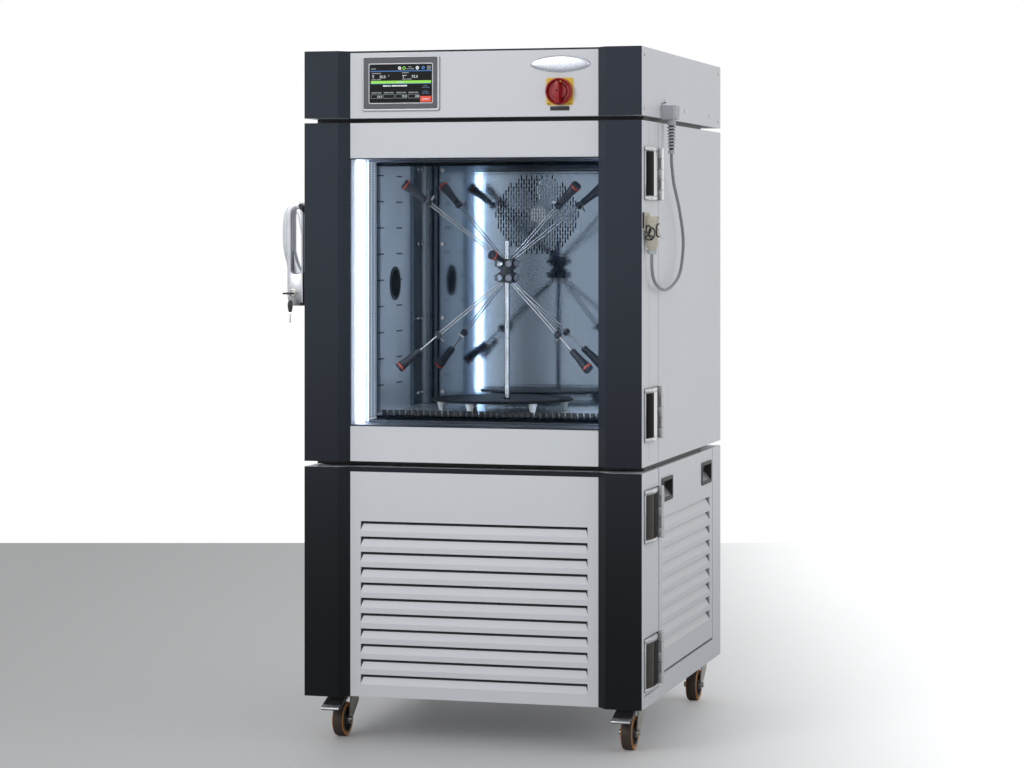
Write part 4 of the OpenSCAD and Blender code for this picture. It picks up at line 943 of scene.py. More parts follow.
def makeTunnel():
    t = tunnel
    for side, word in leftAndRight:
        seed = bmesh.new()
        addSlab(seed, roundedRect(t["cellDepth"], t["cellHeight"], 1, steps=2), "x", -0.25, 0.25)
        repeatPiece(seed, "spacerCells" + word, "door", "cellBlue", 3, (0, t["spacerStep"], 0), t["cellRows"],
                    (0, 0, -t["cellStep"]), centre=(side * t["spacerFace"], t["firstSpacer"], t["firstCell"]))
    mesh = bmesh.new()
    wide, narrow = t["spacerEdge"], t["spacerFace"] + 0.2
    cut = wide - narrow
    for k in range(3):
        middle = t["firstSpacer"] - 1.2 + t["spacerStep"] * k
        front, back = middle - t["spacerThick"] / 2, middle + t["spacerThick"] / 2
        for side in (-1, 1):
            first, last = sorted((side * wide, side * narrow))
            addBlock(mesh, (first, front, t["low"]), (last, back, t["high"]), 0.4, 0)
        for z in (t["low"], t["high"] - cut):
            addBlock(mesh, (-narrow, front, z), (narrow, back, z + cut), 0.4, 1)
    finishPiece(mesh, "spacerBars", "door", ["spacerSheetPaintedGlow", "beddingGrey"], ["pane_spacers"])
    mesh = bmesh.new()
    for side in (-1, 1):
        flip = mirrored(side)
        strip = [(t["stripEdge"], t["stripFront"]), (t["stripFace"] + 1, t["stripFront"]),
                 (t["stripFace"], t["stripFront"] + 2), (t["stripFace"], t["stripBack"] - 2),
                 (t["stripFace"] + 1, t["stripBack"]), (t["stripEdge"], t["stripBack"])]
        addSlab(mesh, strip, "z", t["low"] + 4, t["high"] - 4, 0.3, 0, flip)
    finishPiece(mesh, "lightStrips", "door", ["lightDiffuser"], ["light_bars"])
    mesh = bmesh.new()
    # Black bedding under and over the panes, and the grey strip behind it
    for low, high in ((734.2, 736.6), (1350.6, 1352.8)):
        addBlock(mesh, (-294.6, 30, low), (294.6, 66, high), 0.4, 0)
        addBlock(mesh, (-280.5, 67, low), (280.5, 131, high - 0.4), 0.4, 1)
    addBlock(mesh, (289.9, 60.5, 737), (294.7, 63.8, 1350), 0.4, 0)
    finishPiece(mesh, "windowBedding", "door", ["slotBlack", "beddingGrey"])


makeTunnel()

# Dark sheet behind the fan
fanRoom = {"centre": (0, 1225), "hole": 24, "reach": 116, "wall": 652, "thick": 1.5}


def makeFanRoom():
    f = fanRoom
    x, z = f["centre"]
    mesh = bmesh.new()
    hole, reach, front = f["hole"], f["reach"], f["wall"]
    back = front + f["thick"]
    addTurned(mesh, [(hole, front), (reach, front), (reach, back), (hole, back)], (x, 0, z), "y", 48)
    finishPiece(mesh, "fanBackSheet", "cabinet", ["slotBlack"])


makeFanRoom()

# Display: bezel, rim round the glass, and a picture of plain numbers and bars
display = {
    "centre": (-172, 1524), "glassFront": 22, "wide": 149.6, "high": 87.6, "grid": (600, 363),
}


def addNumber(mesh, words, height, place, paint=0, align="LEFT"):
    curve = bpy.data.curves.new("number", "FONT")
    curve.body = words
    curve.size = height * 1.4
    curve.align_x = align
    curve.offset = height * 0.012
    curve.resolution_u = 3
    holder = addObject("number", curve)
    bpy.context.view_layer.update()
    flat = bpy.data.meshes.new_from_object(holder.evaluated_get(bpy.context.evaluated_depsgraph_get()))
    flat.transform(Matrix.Translation(Vector(place)) @ Matrix.Rotation(math.radians(90), 4, "X"))
    part = bmesh.new()
    part.from_mesh(flat)
    for face in part.faces:
        face.normal_update()
        if face.normal.y > 0:
            face.normal_flip()
        face.material_index = paint
    addTo(mesh, part)
    bpy.data.meshes.remove(flat)
    bpy.data.objects.remove(holder)
    bpy.data.curves.remove(curve)


def makeDisplay():
    cx, cz = display["centre"]
    mesh = bmesh.new()
    addRing(mesh, roundedRect(187, 126, 5, cx, cz - 0.5), roundedRect(177.6, 118.6, 2.5, cx - 0.6, cz + 0.8), "y",
            21, 23.9, 0.35)
    addRing(mesh, roundedRect(156, 93.6, 4, cx, cz), roundedRect(151, 88.8, 2.2, cx, cz), "y", 21.15, 22.4, 0.3)
    finishPiece(mesh, "displayBezel", "cabinet", ["frameAluminium"])

    front = display["glassFront"]
    mesh = bmesh.new()
    white, green, blue, red, grey, dim = range(6)
    across, down = display["grid"]

    def at(x, y):
        # A place on the grid, counted from the picture's upper left
        return (cx + (x / across - 0.5) * display["wide"], cz + (0.5 - y / down) * display["high"])

    def tile(x0, y0, x1, y1, paint):
        (u0, v1), (u1, v0) = at(x0, y0), at(x1, y1)
        addSlab(mesh, [(u0, v0), (u1, v0), (u1, v1), (u0, v1)], "y", front - 0.2, front - 0.02, 0, paint)

    def disc(x, y, outer, inner, paint, steps=20):
        u, v = at(x, y)
        rims = [[(u + r * math.cos(6.2832 * k / steps), v + r * math.sin(6.2832 * k / steps)) for k in range(steps)]
                for r in (outer, inner)]
        addRing(mesh, rims[0], rims[1], "y", front - 0.2, front - 0.02, 0, paint)

    tile(4, 58, 598, 66, blue)
    for x0, x1 in ((14, 28), (31, 38), (41, 58)):
        tile(x0, 34, x1, 45, grey)
    disc(288, 34, 3.8, 1.2, white)
    disc(303, 49, 1.5, 0.3, red)
    disc(331, 35, 3.9, 2.3, green)
    for x0, y0, x1, y1 in ((372, 20, 404, 27), (356, 37, 376, 46), (380, 37, 392, 46), (396, 37, 428, 46)):
        tile(x0, y0, x1, y1, grey)
    disc(460, 33, 3.9, 1.2, white)
    tile(456, 44, 464, 54, white)
    disc(516, 33, 4.0, 1.5, blue, 8)
    for k in range(3):
        tile(553, 15 + 14 * k, 591, 24 + 14 * k, grey)
    for x0, y0, x1, y1 in ((18, 78, 108, 87), (16, 138, 60, 147), (66, 138, 108, 147), (312, 74, 376, 83),
                           (312, 136, 350, 145), (356, 136, 404, 145)):
        tile(x0, y0, x1, y1, grey)
    for k, left in enumerate((18, 312)):
        tile(left + 2, 102, left + 24 + 20 * k, 106, white)
        tile(left + 11, 106, left + 16, 130, white)
    for words, x in (("35.0", 92), ("75.0", 404)):
        u, v = at(x, 128)
        addNumber(mesh, words, 6.2, (u, front - 0.15, v), white)
    disc(182, 104, 1.1, 0.55, white, 12)
    tile(10, 154, 592, 180, green)
    tile(10, 181, 592, 185, blue)
    tile(266, 164, 326, 174, white)
    for x0, x1 in ((127, 166), (171, 190), (196, 204), (212, 262), (267, 292), (296, 360)):
        tile(x0, 196, x1, 209, white)
    for x0, y0, x1, y1 in ((518, 198, 556, 207), (504, 216, 576, 225), (512, 254, 562, 263), (504, 272, 576, 281)):
        tile(x0, y0, x1, y1, dim)
    for k, words in enumerate(("35.0", "", "75.0", "100")):
        x = 12 + 119.5 * k
        tile(x + 4, 262, x + 60, 273, grey)
        tile(x + 66, 262, x + 98, 273, grey)
        u, v = at(x + 54, 303)
        addRing(mesh, roundedRect(27.4, 9.4, 1.4, u, v), roundedRect(25.8, 7.8, 0.8, u, v), "y", front - 0.2,
                front - 0.02, 0, grey)
        if words:
            u, v = at(x + 104, 313)
            addNumber(mesh, words, 4.6, (u, front - 0.15, v), white, "RIGHT")
    tile(487, 303, 594, 358, red)
    tile(508, 326, 572, 336, white)
    finishPiece(mesh, "displayPicture", "cabinet",
                ["screenWhite", "screenGreen", "screenBlue", "screenRed", "screenGrey", "screenDim"])


makeDisplay()

# Main switch, the small bare plate below it and the bare oval plate above it
mainSwitch = {
    "centre": (205, 1501), "back": 21.4, "rim": 8.5, "radius": 30.6, "gripFront": -4, "gripBack": 14, "gripHalf": 27,
    "plateCentre": (205.3, 1462.6), "plateSize": (45, 9.4),
    "ovalCentre": (206.8, 1563.5), "ovalHalf": (70, 19.3),
}


def makeSwitch():
    s = mainSwitch
    cx, cz = s["centre"]
    r = s["radius"]
    mesh = bmesh.new()
    back, rim = s["back"], s["rim"]
    addTurned(mesh, [(0, back), (r - 2, back), (r, back - 2), (r, rim + 2), (r - 0.8, rim + 0.5), (r - 2.4, rim),
                     (r - 4, rim + 0.8), (r - 5, rim + 3), (r - 5.6, 17), (r - 7, 18), (19.5, 18), (18.6, 17.2),
                     (18, 13.4), (17, 12.6), (0, 12.6)], (cx, 0, cz), "y", 64)
    front, half = s["gripFront"], s["gripHalf"]
    # Grip: a wedge bar, wider at its root, rounded at the top end
    grip = [(-7.2, -half), (7.2, -half), (8.4, half - 16), (6.6, half - 7), (2.5, half - 3), (-2.5, half - 3),
            (-6.6, half - 7), (-8.4, half - 16)]
    addPrism(mesh, [(cx + u, s["gripBack"], cz + v) for u, v in grip],
             [(cx + u * 0.66, front, cz + v * 0.97) for u, v in grip], 0, 1.1)
    addTurned(mesh, [(0, front), (1.9, front), (1.9, front + 1), (0, front + 1)], (cx, 0, cz + 1.5), "y", 20, 1)
    pin = [(0, 15.6), (2.1, 15.4), (3.4, 15.8), (3.6, 18.2), (0, 18.2)]
    addTurned(mesh, pin, (cx + 3, 0, cz + 21.6), "y", 20, 2)
    addBlock(mesh, (cx + 13, 15.4, cz + 13), (cx + 17, 18.2, cz + 15.5), 0.4, 0,
             Matrix.Translation((cx + 15, 0, cz + 14)) @ Matrix.Rotation(math.radians(42), 4, "Y")
             @ Matrix.Translation((-cx - 15, 0, -cz - 14)))
    finishPiece(mesh, "switchHandle", "main_switch", ["redPlastic", "brightScrew", "brassPin"],
                ["switch_knob"])

    mesh = bmesh.new()
    for side in (-1, 1):
        for k in range(3):
            addBlock(mesh, (cx + side * 24.5 - 3.5 + 2.6 * k, 21.75, cz - 29.6),
                     (cx + side * 24.5 - 1.7 + 2.6 * k, 21.98, cz - 27 + (k % 2)), 0, 0)
    finishPiece(mesh, "switchPlateMarks", "cabinet", ["slotBlack"])

    mesh = bmesh.new()
    px, pz = s["plateCentre"]
    addSlab(mesh, roundedRect(*s["plateSize"], 1.2, px, pz), "y", 23, 23.95, 0.3)
    addRing(mesh, roundedRect(41.5, 6.6, 0.9, px, pz), roundedRect(40.7, 5.8, 0.6, px, pz), "y", 22.9, 23.1, 0, 0)
    finishPiece(mesh, "smallBlackPlate", "cabinet", ["blackPlastic"])

    mesh = bmesh.new()
    ox, oz = s["ovalCentre"]
    a, b = s["ovalHalf"]
    steps = 72

    def oval(scale, x):
        t = 2 * math.pi * x / steps
        wide = a * math.cos(t)
        return (ox + wide * scale, oz + b * scale * math.sin(t) * (1 - 0.1 * abs(math.cos(t))))

    part = bmesh.new()
    rings = []
    for scale, y in ((1, 23.95), (1, 22.9), (0.985, 22.5), (0.962, 22.5), (0.95, 22.9), (0.93, 22.6), (0.8, 22),
                     (0.5, 21.5), (0.2, 21.3)):
        rings.append(addLoop(part, [(oval(scale, k)[0], y, oval(scale, k)[1]) for k in range(steps)]))
    for i, (first, second) in enumerate(zip(rings, rings[1:])):
        bridge(part, first, second, 1 if i < 4 else 0)
    closeEnds(part, rings)
    bmesh.ops.recalc_face_normals(part, faces=part.faces)
    addTo(mesh, part)
    finishPiece(mesh, "bareOvalPlate", "cabinet", ["ovalSilver", "ovalRim"], sharpness=40)


makeSwitch()
print("control box dressed")

# Handle: hinged casting, its lock and the keys
handle = {
    "low": 1010, "top": 1252, "front": 60, "step": 75, "back": 100, "door": -424.5, "face": -466, "bulge": -480,
    "lockCentre": (-448, 1039), "outlineSteps": 96, "mountWall": -400.2, "mountFoot": -423.9, "pin": (-427, 64),
}


def evenLine(points, count):
    # The same closed line through count evenly spaced points
    points = [Vector(p) for p in points]
    spans = [(b - a).length for a, b in zip(points, points[1:] + points[:1])]
    total, made, i, passed = sum(spans), [], 0, 0
    for k in range(count):
        goal = total * k / count
        while passed + spans[i] < goal:
            passed += spans[i]
            i += 1
        t = (goal - passed) / spans[i]
        made.append(tuple(points[i].lerp(points[(i + 1) % len(points)], t)))
    return made


def makeHandle():
    h = handle
    count = h["outlineSteps"]
    door, low, top = h["door"], h["low"], h["top"]
    opening = [(-432, 1234), (-438, 1237), (-446, 1236), (-452, 1230), (-454, 1220), (-454, 1094), (-452.6, 1087),
               (-448, 1084), (-436, 1084), (-431, 1085), (-428.6, 1090), (-428.6, 1180), (-429.6, 1214)]
    face = [(door, 1246), (-430, 1251), (-438, top), (-450, 1250), (-459, 1243), (-464.5, 1232), (h["face"], 1216),
            (h["face"], 1130), (-464.5, 1112), (-463, 1098), (-463, 1034), (-461.5, 1024), (-457, 1014), (-451, low),
            (door, low)]
    rear = [(door, 1246), (-432, 1251), (-442, top), (-456, 1249), (-467, 1241), (-475, 1228), (-479, 1210),
            (h["bulge"], 1180), (-479, 1150), (-475, 1126), (-468, 1104), (-464, 1086), (-463.5, 1034), (-461, 1024),
            (-456, 1014), (-450, low), (door, low)]
    mesh = bmesh.new()
    inner = evenLine(opening, count)
    addRing(mesh, evenLine(face, count), inner, "y", h["front"], h["step"] + 2, 2.6)
    addRing(mesh, evenLine(rear, count), inner, "y", h["step"], h["back"] - 0.4, 4)
    # Webs that narrow the opening towards its lower end and its upper right corner
    addSlab(mesh, [(-453.5, 1085), (-453.5, 1140), (-449, 1122), (-443, 1104), (-436, 1091), (-431, 1085)], "y",
            h["front"] + 16, h["back"] - 4, 1.2)
    addSlab(mesh, [(-428.8, 1236), (-443, 1236.5), (-439, 1222), (-435.5, 1204), (-432, 1184), (-428.8, 1166)], "y",
            h["front"] + 6, h["back"] - 4, 1.2)
    addSlab(mesh, [(-424.7, 1247.5), (-433, 1249.5), (-436, 1244), (-431, 1236), (-424.7, 1229)], "y",
            h["front"] - 0.3, h["front"] + 6, 0.5, 1)
    lx, lz = h["lockCentre"]
    rim = [(7.3, 1), (10.8, 0.4), (11.2, -0.4), (10.4, -1.3), (9.2, -1.6), (8, -1.2), (7.3, -0.2)]
    addTurned(mesh, [(r, h["front"] + y) for r, y in rim], (lx, 0, lz), "y", 40, 2)
    finishPiece(mesh, "handleCasting", "handle", ["castAluminium", "blackPlastic", "brightScrew"],
                ["handle_grip"], sharpness=40)


def makeKeys():
    h = handle
    lx, lz = h["lockCentre"]
    front = h["front"]
    mesh = bmesh.new()
    addTurned(mesh, [(0, front + 22), (6.9, front + 22), (6.9, front - 0.6), (6.2, front - 1.4), (2.2, front - 1.4),
                     (1.8, front - 0.9), (0, front - 0.9)], (lx, 0, lz), "y", 32, 0)
    addBlock(mesh, (lx - 4, front - 9.6, lz - 1), (lx + 4, front - 1, lz + 1), 0.3, 0)
    # Bow of the key in the lock, seen on its edge, then the ring and the hanging key
    addSlab(mesh, roundedRect(25, 21, 7, lx - 5, front - 20.4, 6), "z", lz - 1.9, lz + 1.9, 1.2, 1)
    addSlab(mesh, roundedRect(13, 9, 3.5, lx - 4, front - 20.4, 4), "z", lz - 2.4, lz + 2.4, 0.5, 1)
    ring = [(lx + 1, front - 26 + 9 * math.cos(2 * math.pi * k / 32), lz - 9 + 9 * math.sin(2 * math.pi * k / 32))
            for k in range(33)]
    addTube(mesh, ring, 0.75, 8, 0)
    bow = [(-3.6, 14), (3.6, 14), (5.8, 8), (6.3, 1), (5.2, -6), (3.2, -13.4), (-3.2, -13.4), (-5.2, -6), (-6.3, 1),
           (-5.8, 8)]
    addSlab(mesh, [(lx + 2 + u, lz - 30 + v) for u, v in bow], "y", front - 28, front - 24.8, 1.1, 1)
    blade = [(-1.5, -12), (1.5, -12), (1.5, -35), (0.6, -38), (-0.4, -38), (-1.5, -36), (-1.5, -33), (-0.8, -32),
             (-1.5, -30.6), (-1.5, -28), (-0.9, -26.8), (-1.5, -25.4)]
    addSlab(mesh, [(lx + 2 + u, lz - 30 + v) for u, v in blade], "y", front - 27.4, front - 25.6, 0.2, 0)
    finishPiece(mesh, "lockAndKeys", "key", ["brightScrew", "blackPlastic"], ["keys"])


def makeHandleBase():
    h = handle
    mesh = bmesh.new()
    wall, foot = h["mountWall"], h["mountFoot"]
    front, back = h["front"] + 6.2, h["back"] - 0.2
    addBlock(mesh, (foot, front, h["low"] + 0.2), (wall, back, 1088), 0.8, 0)
    addBlock(mesh, (foot, front, 1088.2), (wall, back, 1243.8), 0.8, 1)
    addBlock(mesh, (foot, front - 0.4, 1226), (wall, back, 1244.4), 1.6, 0)
    for z in (h["low"] + 0.2, 1236.2):
        addTurned(mesh, [(0, z), (6.2, z), (6.9, z + 0.8), (6.9, z + 6.8), (6.2, z + 7.6), (0, z + 7.6)],
                  (*h["pin"], 0), "z", 24)
    finishPiece(mesh, "handleMount", "door", ["blackPlastic", "castAluminium"], ["handle_base"])


makeHandle()
makeHandleBase()
makeKeys()
print("handle made")

# Hinges: covers with end caps on the doors' leaves
hinges = {
    "height": 120, "upper": (709, 1255), "lower": (146, 480), "leafFront": 29, "axis": (407, 178), "knuckle": 6,
    "knuckleStep": 24, "cap": 9,
}


def makeHinge(mesh, z, paintedDarkCover):
    g = hinges
    high = z + g["height"]
    ax, ay = g["axis"]
    r, step, cap = g["knuckle"], g["knuckleStep"], g["cap"]
    # Leaf in black: painted shade in the gap beside the knuckles
    addBlock(mesh, (400.2, g["leafFront"], z), (402.9, ay - 14.2, high), 0.4, 1)
    for k in (0, 2, 4):
        low, up = z + k * step + 0.3, z + (k + 1) * step - 0.3
        knuckle = [(0, low), (r - 0.8, low), (r - 0.1, low + 0.8), (r - 0.1, up - 0.8), (r - 0.8, up), (0, up)]
        addTurned(mesh, knuckle, (ax, ay, 0), "z", 24)
        addBlock(mesh, (400.2, ay - 16, low), (402.9, ay - 0.4, up), 0.4, 0)
    # Cover: a shallow arch; its front slope gets a finish of its own, a painted dark reflection, and on the lower
    # hinges the rest of the arch is painted dark too
    arch = [(401, 27.6), (404.6, 27.8), (407.6, 34), (410, 46), (411.9, 60), (412.8, 72), (412.9, 84), (412.6, 98),
            (411, 114), (408.6, 128), (406, 137.8), (401, 138)]
    slope = [(401, 28.4)] + [(x + 0.15, y) for x, y in arch[1:6]] + [(401, 72)]
    addSlab(mesh, arch, "z", z + cap, high - cap, 0.4)
    addSlab(mesh, slope, "z", z + cap + 0.6, high - cap - 0.6, 0.2, 2 if paintedDarkCover else 1)
    if paintedDarkCover:
        rest = [(401, 73)] + [(x + 0.15, y) for x, y in arch[5:11]] + [(401, 137)]
        addSlab(mesh, rest, "z", z + cap + 0.6, high - cap - 0.6, 0.2, 1)
    for low, up in ((z + 0.2, z + cap - 0.6), (high - cap + 0.6, high - 0.2)):
        addSlab(mesh, [(x + (0.1 if x > 403 else 0), y) for x, y in arch], "z", low, up, 1.2, 0)
    for up in (z + 4.5, high - 4.5):
        for y in (60, 108):
            rivet = [(0, 411.2), (2.4, 411.4), (2.6, 412.4), (2, 412.95), (0.6, 412.95), (0.5, 412.3), (0, 412.3)]
            addTurned(mesh, rivet, (0, y, up), "x", 14)


def makeHinges(name, body, heights, node, paintedDarkCover):
    mesh = bmesh.new()
    for z in heights:
        makeHinge(mesh, z, paintedDarkCover)
    finishPiece(mesh, name, body, ["polishedSteel", "hingeShadeBlack", "hingeReflectionBrown"], [node], sharpness=40)


makeHinges("doorHingeCovers", "door", hinges["upper"], "door_hinges", False)
makeHinges("lowerHingeCovers", "lower_door", hinges["lower"], "lower_door_hinges", True)

# Socket on the door's side: gasket edge, wire clip and lever
socket = {"centre": 40, "low": 1176, "top": 1226, "face": 427}


def makeSocketParts():
    y, low, top, face = (socket[k] for k in ("centre", "low", "top", "face"))
    mesh = bmesh.new()
    gasket = [(y - 28.2, top - 1), (y - 28.2, top - 30), (y - 25, top - 38), (y + 14, top - 39), (y + 14, top - 36),
              (y - 22, top - 36), (y - 25.8, top - 29), (y - 25.8, top + 0.6), (y - 27, top + 0.8)]
    addSlab(mesh, gasket, "x", 400.3, 403.2, 0.4, 0)
    for x, wide, z, tall in ((411, 5.6, low + 12, 9), (419, 7, low + 4, 12), (413, 9, low - 6, 5)):
        angles = [2 * math.pi * k / 20 for k in range(21)]
        addTube(mesh, [(x + wide * math.cos(a), y - 18.6, z + tall * math.sin(a)) for a in angles], 1.4, 8)
    # Clip and lever: places from the socket's face, its middle and its lower edge
    clip = [(-3, 18, 24), (1.4, 17, 25), (2, 4, 24), (2, -12, 18), (2, -14, 6), (2, -8, -2), (2, 6, -4),
            (1.6, 17, -4), (-3, 18.4, -3)]
    lever = [(-2, 18.6, 12), (1, 22, 2), (3.4, 30, -5), (4.2, 38, -9)]
    for route, radius, paint in ((clip, 1.6, 0), (lever, 1.1, 1)):
        addTube(mesh, smoothRoute([(face + u, y + v, low + w) for u, v, w in route], 5), radius, 8, paint)
    for z in (top - 12, low + 12):
        pin = [(0, face - 0.2), (2.2, face), (2.2, face + 0.9), (0, face + 1.1)]
        addTurned(mesh, pin, (0, y + 11, z), "x", 12)
    finishPiece(mesh, "socketClip", "door", ["blackPlastic", "footWhite"])


makeSocketParts()

# Finger pulls of the side panels
pulls = {"places": (266, 720), "height": 585, "frame": (119, 56), "mouth": (101.2, 38.2), "floor": 386.4}


def makePulls():
    p = pulls
    for word, side, body in sidePanels:
        mesh = bmesh.new()
        flip = mirrored(side)
        for y in p["places"]:
            rim = roundedRect(*p["frame"], 6.2, y, p["height"])
            mouth = roundedRect(*p["mouth"], 3, y, p["height"])
            cup = roundedRect(p["mouth"][0] + 0.5, p["mouth"][1] + 0.5, 3.2, y, p["height"])
            addRing(mesh, rim, mouth, "x", 400.2, 402.5, 0.5, 0, flip)
            addRing(mesh, cup, mouth, "x", p["floor"], 400.6, 0, 0, flip)
            addSlab(mesh, mouth, "x", p["floor"], p["floor"] + 0.8, 0, 0, flip)
            # Slope that the light catches, coloured lighter grey: a painted highlight
            low = p["height"] - p["mouth"][1] / 2
            wedge = [(p["floor"] + 0.6, low + 0.2), (400, low + 0.2), (p["floor"] + 0.6, low + 17)]
            addSlab(mesh, wedge, "y", y - p["mouth"][0] / 2 + 0.3, y + p["mouth"][0] / 2 - 0.3, 0.2, 1, flip)
        finishPiece(mesh, word + "FingerPulls", body, ["blackPlastic", "pullHighlightGrey"])


makePulls()


# Painted shade: black strips laid at the heads and open ends of the louvres, where their openings are in shade
louvres = {
    "pitch": 35.4, "tall": 23, "deep": 9, "dark": 6.2, "horn": 6,
    "frontFace": 24, "frontCount": 11, "frontLow": 138, "frontHalf": 270.8,
    "sideFace": 400, "sideCount": 9, "sideMiddle": 490, "sideLow": 216, "sideHalf": 273.3, "sideDark": 2.6,
}


def louvreShadeSeed(half, dark, horn, turn=0):
    # Lies just before the slope of one louvre whose face looks to -Y before the turn
    t = louvres
    seed = bmesh.new()
    slope = Matrix.Identity(4)
    slope[1][2] = t["deep"] / t["tall"]
    slope = Matrix.Rotation(math.radians(turn), 4, "Z") @ slope
    top = t["tall"] - 0.2
    addSlab(seed, [(-half, top - dark), (half, top - dark), (half, top), (-half, top)], "y", -0.7, -0.1, 0, 0, slope)
    for side in (-1, 1):
        outline = [(side * half, 1), (side * (half - horn * 0.55), top - dark - 6),
                   (side * (half - horn), top - dark - 0.1), (side * half, top - dark - 0.1)]
        addSlab(seed, outline, "y", -0.7, -0.1, 0, 0, slope)
    return seed


def makeLouvreShadeStrips():
    t = louvres
    seed = louvreShadeSeed(t["frontHalf"], t["dark"], t["horn"])
    repeatPiece(seed, "frontLouvreSlots", "lower_door", "slotBlack", t["frontCount"], (0, 0, t["pitch"]),
                centre=(0, t["frontFace"], t["frontLow"]))
    for word, side, body in sidePanels:
        seed = louvreShadeSeed(t["sideHalf"], t["sideDark"], t["horn"] * 3, side * 90)
        repeatPiece(seed, word + "LouvreSlots", body, "slotBlack", t["sideCount"], (0, 0, t["pitch"]),
                    centre=(side * t["sideFace"], t["sideMiddle"], t["sideLow"]))


# Painted shade: black sheets behind the louvres of the lower door and of the side panels, where there is only shade
# inside
louvreShadeSheets = {"front": (34.2, 35.2), "frontHalf": 268, "frontLow": 132, "frontHigh": 532,
        "side": (387.9, 388.9), "sideFront": 210, "sideBack": 770, "sideLow": 205, "sideHigh": 540}


def makeLouvreShadeSheets():
    f = louvreShadeSheets
    mesh = bmesh.new()
    low, high = f["frontLow"], f["frontHigh"]
    outline = roundedRect(2 * f["frontHalf"], high - low, 4, 0, (high + low) / 2)
    addSlab(mesh, outline, "y", *f["front"], 0.3)
    finishPiece(mesh, "doorFelt", "lower_door", ["louvreShadeBlack"])
    for word, side, body in sidePanels:
        mesh = bmesh.new()
        outline = roundedRect(f["sideBack"] - f["sideFront"], f["sideHigh"] - f["sideLow"], 4,
                              (f["sideBack"] + f["sideFront"]) / 2, (f["sideHigh"] + f["sideLow"]) / 2)
        addSlab(mesh, outline, "x", *f["side"], 0.3, 0, mirrored(side))
        finishPiece(mesh, word + "PanelFelt", body, ["louvreShadeBlack"])


makeLouvreShadeSheets()
makeLouvreShadeStrips()


# Castors: tyres with spoked hubs, axle nuts, and the lips of the brake pedals
castors = {"across": 346, "front": 118, "rear": 830, "radius": 40, "width": 28, "spokes": 6}


def makeWheel(code, x, y):
    c = castors
    r, half = c["radius"], c["width"] / 2
    mesh = bmesh.new()
    centre = (x, y, r)
    addTurned(mesh, [(r - 9, -half + 2.4), (r - 3.6, -half + 0.3), (r - 1.2, -half + 2.2), (r - 1.2, half - 2.2),
                     (r - 3.6, half - 0.3), (r - 9, half - 2.4), (r - 9, -half + 2.4)], centre, "x", 56, 0)
    addTurned(mesh, [(r - 4, -half + 2.6), (r - 1.4, -half + 2), (r - 0.2, -half + 4.4), (r, 0),
                     (r - 0.2, half - 4.4), (r - 1.4, half - 2), (r - 4, half - 2.6), (r - 4, -half + 2.6)], centre,
              "x", 56, 1)
    for side in (-1, 1):
        rim = [(r - 8.6, side * (half - 2.8)), (r - 8.8, side * (half - 0.9)), (r - 11, side * (half - 0.6)),
               (r - 12.4, side * (half - 1.6)), (r - 13, side * 3)]
        addTurned(mesh, rim + rim[:1], centre, "x", 56, 2)
        boss = [(12, side * 3), (11.4, side * (half - 1)), (10, side * half), (6, side * half),
                (4.6, side * (half - 1)), (4.6, side * 3), (12, side * 3)]
        addTurned(mesh, boss, centre, "x", 32, 2)
    for k in range(c["spokes"]):
        turn = Matrix.Translation(centre) @ Matrix.Rotation(2 * math.pi * k / c["spokes"], 4, "X")
        addBlock(mesh, (-half + 4, -2.1, 10.6), (half - 4, 2.1, r - 11.6), 0.9, 3, turn)
    addTurned(mesh, [(r - 10, -3), (r - 10, 3), (6, 3), (6, -3), (r - 10, -3)], centre, "x", 40, 3)
    finishPiece(mesh, "wheel" + code.upper(), "wheel_" + code, ["amberTyre", "treadBrown", "hubGrey", "hubDark"],
                ["castor_wheel_" + code])
    mesh = bmesh.new()
    for side in (-1, 1):
        start = side * (half + 5.6)
        profile = [(6.4, start), (6.6, start + side * 0.8), (6.6, start + side * 4.2), (5.6, start + side * 5),
                   (2.4, start + side * 5), (2.2, start + side * 5.9), (0, start + side * 5.9)]
        addTurned(mesh, [(0, start)] + profile, centre, "x", 6, 0)
        washer = [(0, start), (8.6, start), (8.6, start + side * 0.7), (0, start + side * 0.7)]
        addTurned(mesh, washer, centre, "x", 24)
    finishPiece(mesh, "axleNuts" + code.upper(), "castor_" + code, ["brightScrew"])


for code, x, y in (("fl", -1, "front"), ("fr", 1, "front"), ("rl", -1, "rear"), ("rr", 1, "rear")):
    makeWheel(code, x * castors["across"], castors[y])


def makePedalLips():
    for code, x in (("fl", -castors["across"]), ("fr", castors["across"])):
        mesh = bmesh.new()
        lip = [(26.2, 76.2), (28, 80.8), (34, 82.6), (40, 84.4), (40, 85.2), (33, 83.7), (27.2, 82), (24.8, 79),
               (24.6, 75.6)]
        addSlab(mesh, lip, "x", x - 21.6, x + 21.6, 0.35, 0)
        for k in range(3):
            addBlock(mesh, (x - 17, 44 + 8 * k, 86 + 2.5 * k), (x + 17, 47 + 8 * k, 87.9 + 2.5 * k), 0.5, 1)
        finishPiece(mesh, "pedalLip" + code.upper(), "pedal_" + code, ["polishedSteel", "blackPlastic"])


makePedalLips()
print("castors made")

# Small things on the control box's sides, and seams of the cabinet's right side
trimmings = {
    "slots": ((464, 1471), (754, 1470), (242, 1484)), "slotSize": (2.4, 12),
    "firstScrew": (30, 1462), "screwApart": (842, 121),
    "seam": 77.9, "seamHeights": ((664, 706), (832, 1128), (1379, 1432)), "screwRadius": 4.6, "screwHeight": 2.4,
}


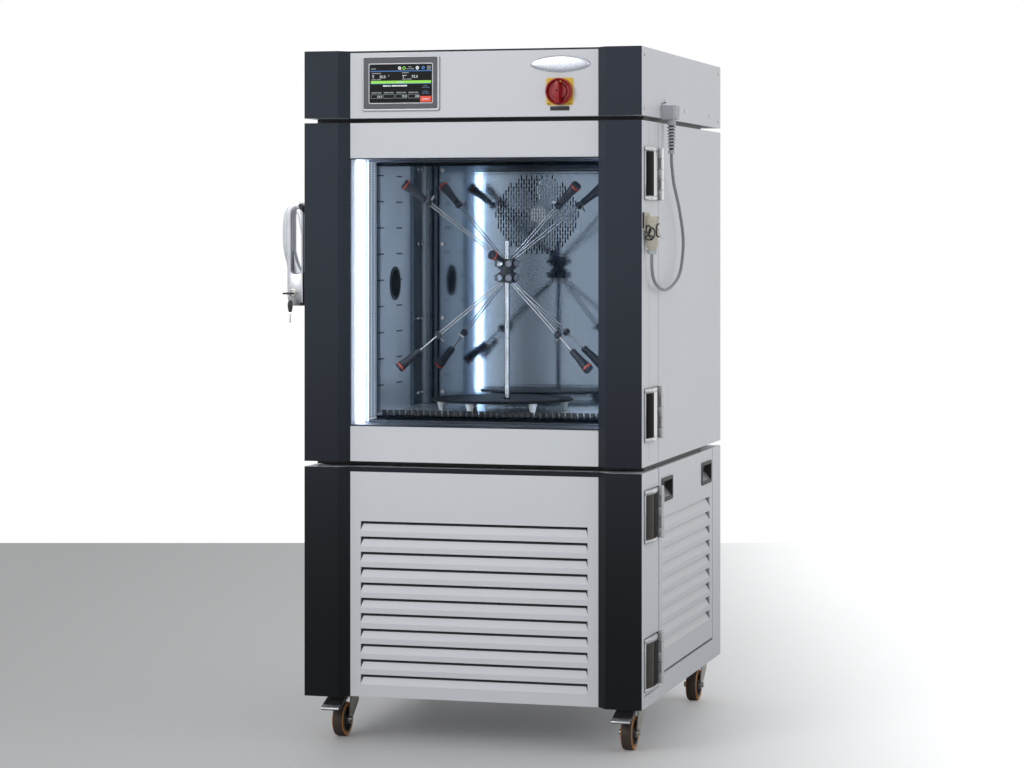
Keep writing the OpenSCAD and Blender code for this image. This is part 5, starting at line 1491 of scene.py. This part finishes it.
def makeTrimmings():
    t = trimmings
    mesh = bmesh.new()
    for side in (-1, 1):
        flip = mirrored(side)
        for y, z in t["slots"]:
            addSlab(mesh, roundedRect(*t["slotSize"], 1.1, y, z), "x", 399.7, 400.25, 0, 0, flip)
    for low, high in t["seamHeights"]:
        addBlock(mesh, (399.8, t["seam"] - 0.4, low), (400.12, t["seam"] + 0.4, high), 0, 1)
    finishPiece(mesh, "sideSlots", "cabinet", ["slotBlack", "seamGrey"])
    for side, word in leftAndRight:
        seed = bmesh.new()
        boltHead(seed, t["screwRadius"], t["screwHeight"], "x", side)
        back, up = t["screwApart"]
        repeatPiece(seed, "boxScrews" + word, "cabinet", "brightScrew", 2, (0, back, 0), 2, (0, 0, up),
                    centre=(side * 400, *t["firstScrew"]))


makeTrimmings()


# Floor
def makeFloor():
    turn = Matrix.Rotation(math.radians(studio["cameraTurn"]), 4, "Z")
    eye = Vector(studio["cameraPlace"])
    eye.z = 0
    half, behind, reach = studio["floorHalf"], studio["floorBehind"], studio["floorReach"]
    data = bpy.data.meshes.new("floor")
    places = ((-half, behind), (half, behind), (half, reach), (-half, reach))
    corners = [turn @ Vector((x, y, 0)) + eye for x, y in places]
    data.from_pydata([(c.x, c.y, 0) for c in corners], [], [(0, 1, 2, 3)])
    floor = addObject("floor", data)
    material, tree, shader, where = startMaterial("floorPaper")
    link = tree.links.new
    shader.inputs["Roughness"].default_value = 0.6
    shader.inputs["Emission Color"].default_value = (1, 1, 1, 1)
    along = addNode(tree, "ShaderNodeMapping", {"Rotation": (0, 0, -math.radians(studio["cameraTurn"]))},
                    vector_type="POINT")
    link(where, along.inputs["Vector"])
    apart = addNode(tree, "ShaderNodeSeparateXYZ")
    link(along.outputs[0], apart.inputs[0])

    def rise(start, end, inputs, **settings):
        made = addNode(tree, "ShaderNodeMapRange", {"From Min": start, "From Max": end, **inputs}, **settings)
        link(apart.outputs[0], made.inputs["Value"])
        return made.outputs[0]

    # Painted shade: the paper's colour runs from grey on the left to white on the right
    ramp = addNode(tree, "ShaderNodeValToRGB")
    for element, tone in zip(ramp.color_ramp.elements, studio["paperShadeTones"]):
        element.color = toneOf(tone, tone, tone)
    link(rise(*studio["paperAcross"], {}), ramp.inputs[0])
    link(ramp.outputs[0], shader.inputs["Base Color"])
    # Painted light: the paper glows towards white on the right, for camera rays only
    least, most = studio["glare"]
    glare = rise(*studio["glareAcross"], {"To Min": least, "To Max": most}, interpolation_type="SMOOTHSTEP")
    lift = addNode(tree, "ShaderNodeMath", operation="MULTIPLY")
    link(glare, lift.inputs[0])
    link(addNode(tree, "ShaderNodeLightPath").outputs["Is Camera Ray"], lift.inputs[1])
    link(lift.outputs[0], shader.inputs["Emission Strength"])
    data.materials.append(material)


makeFloor()
for lampValues in studio["lamps"]:
    addLamp(*lampValues)
print("floor and lamps set")
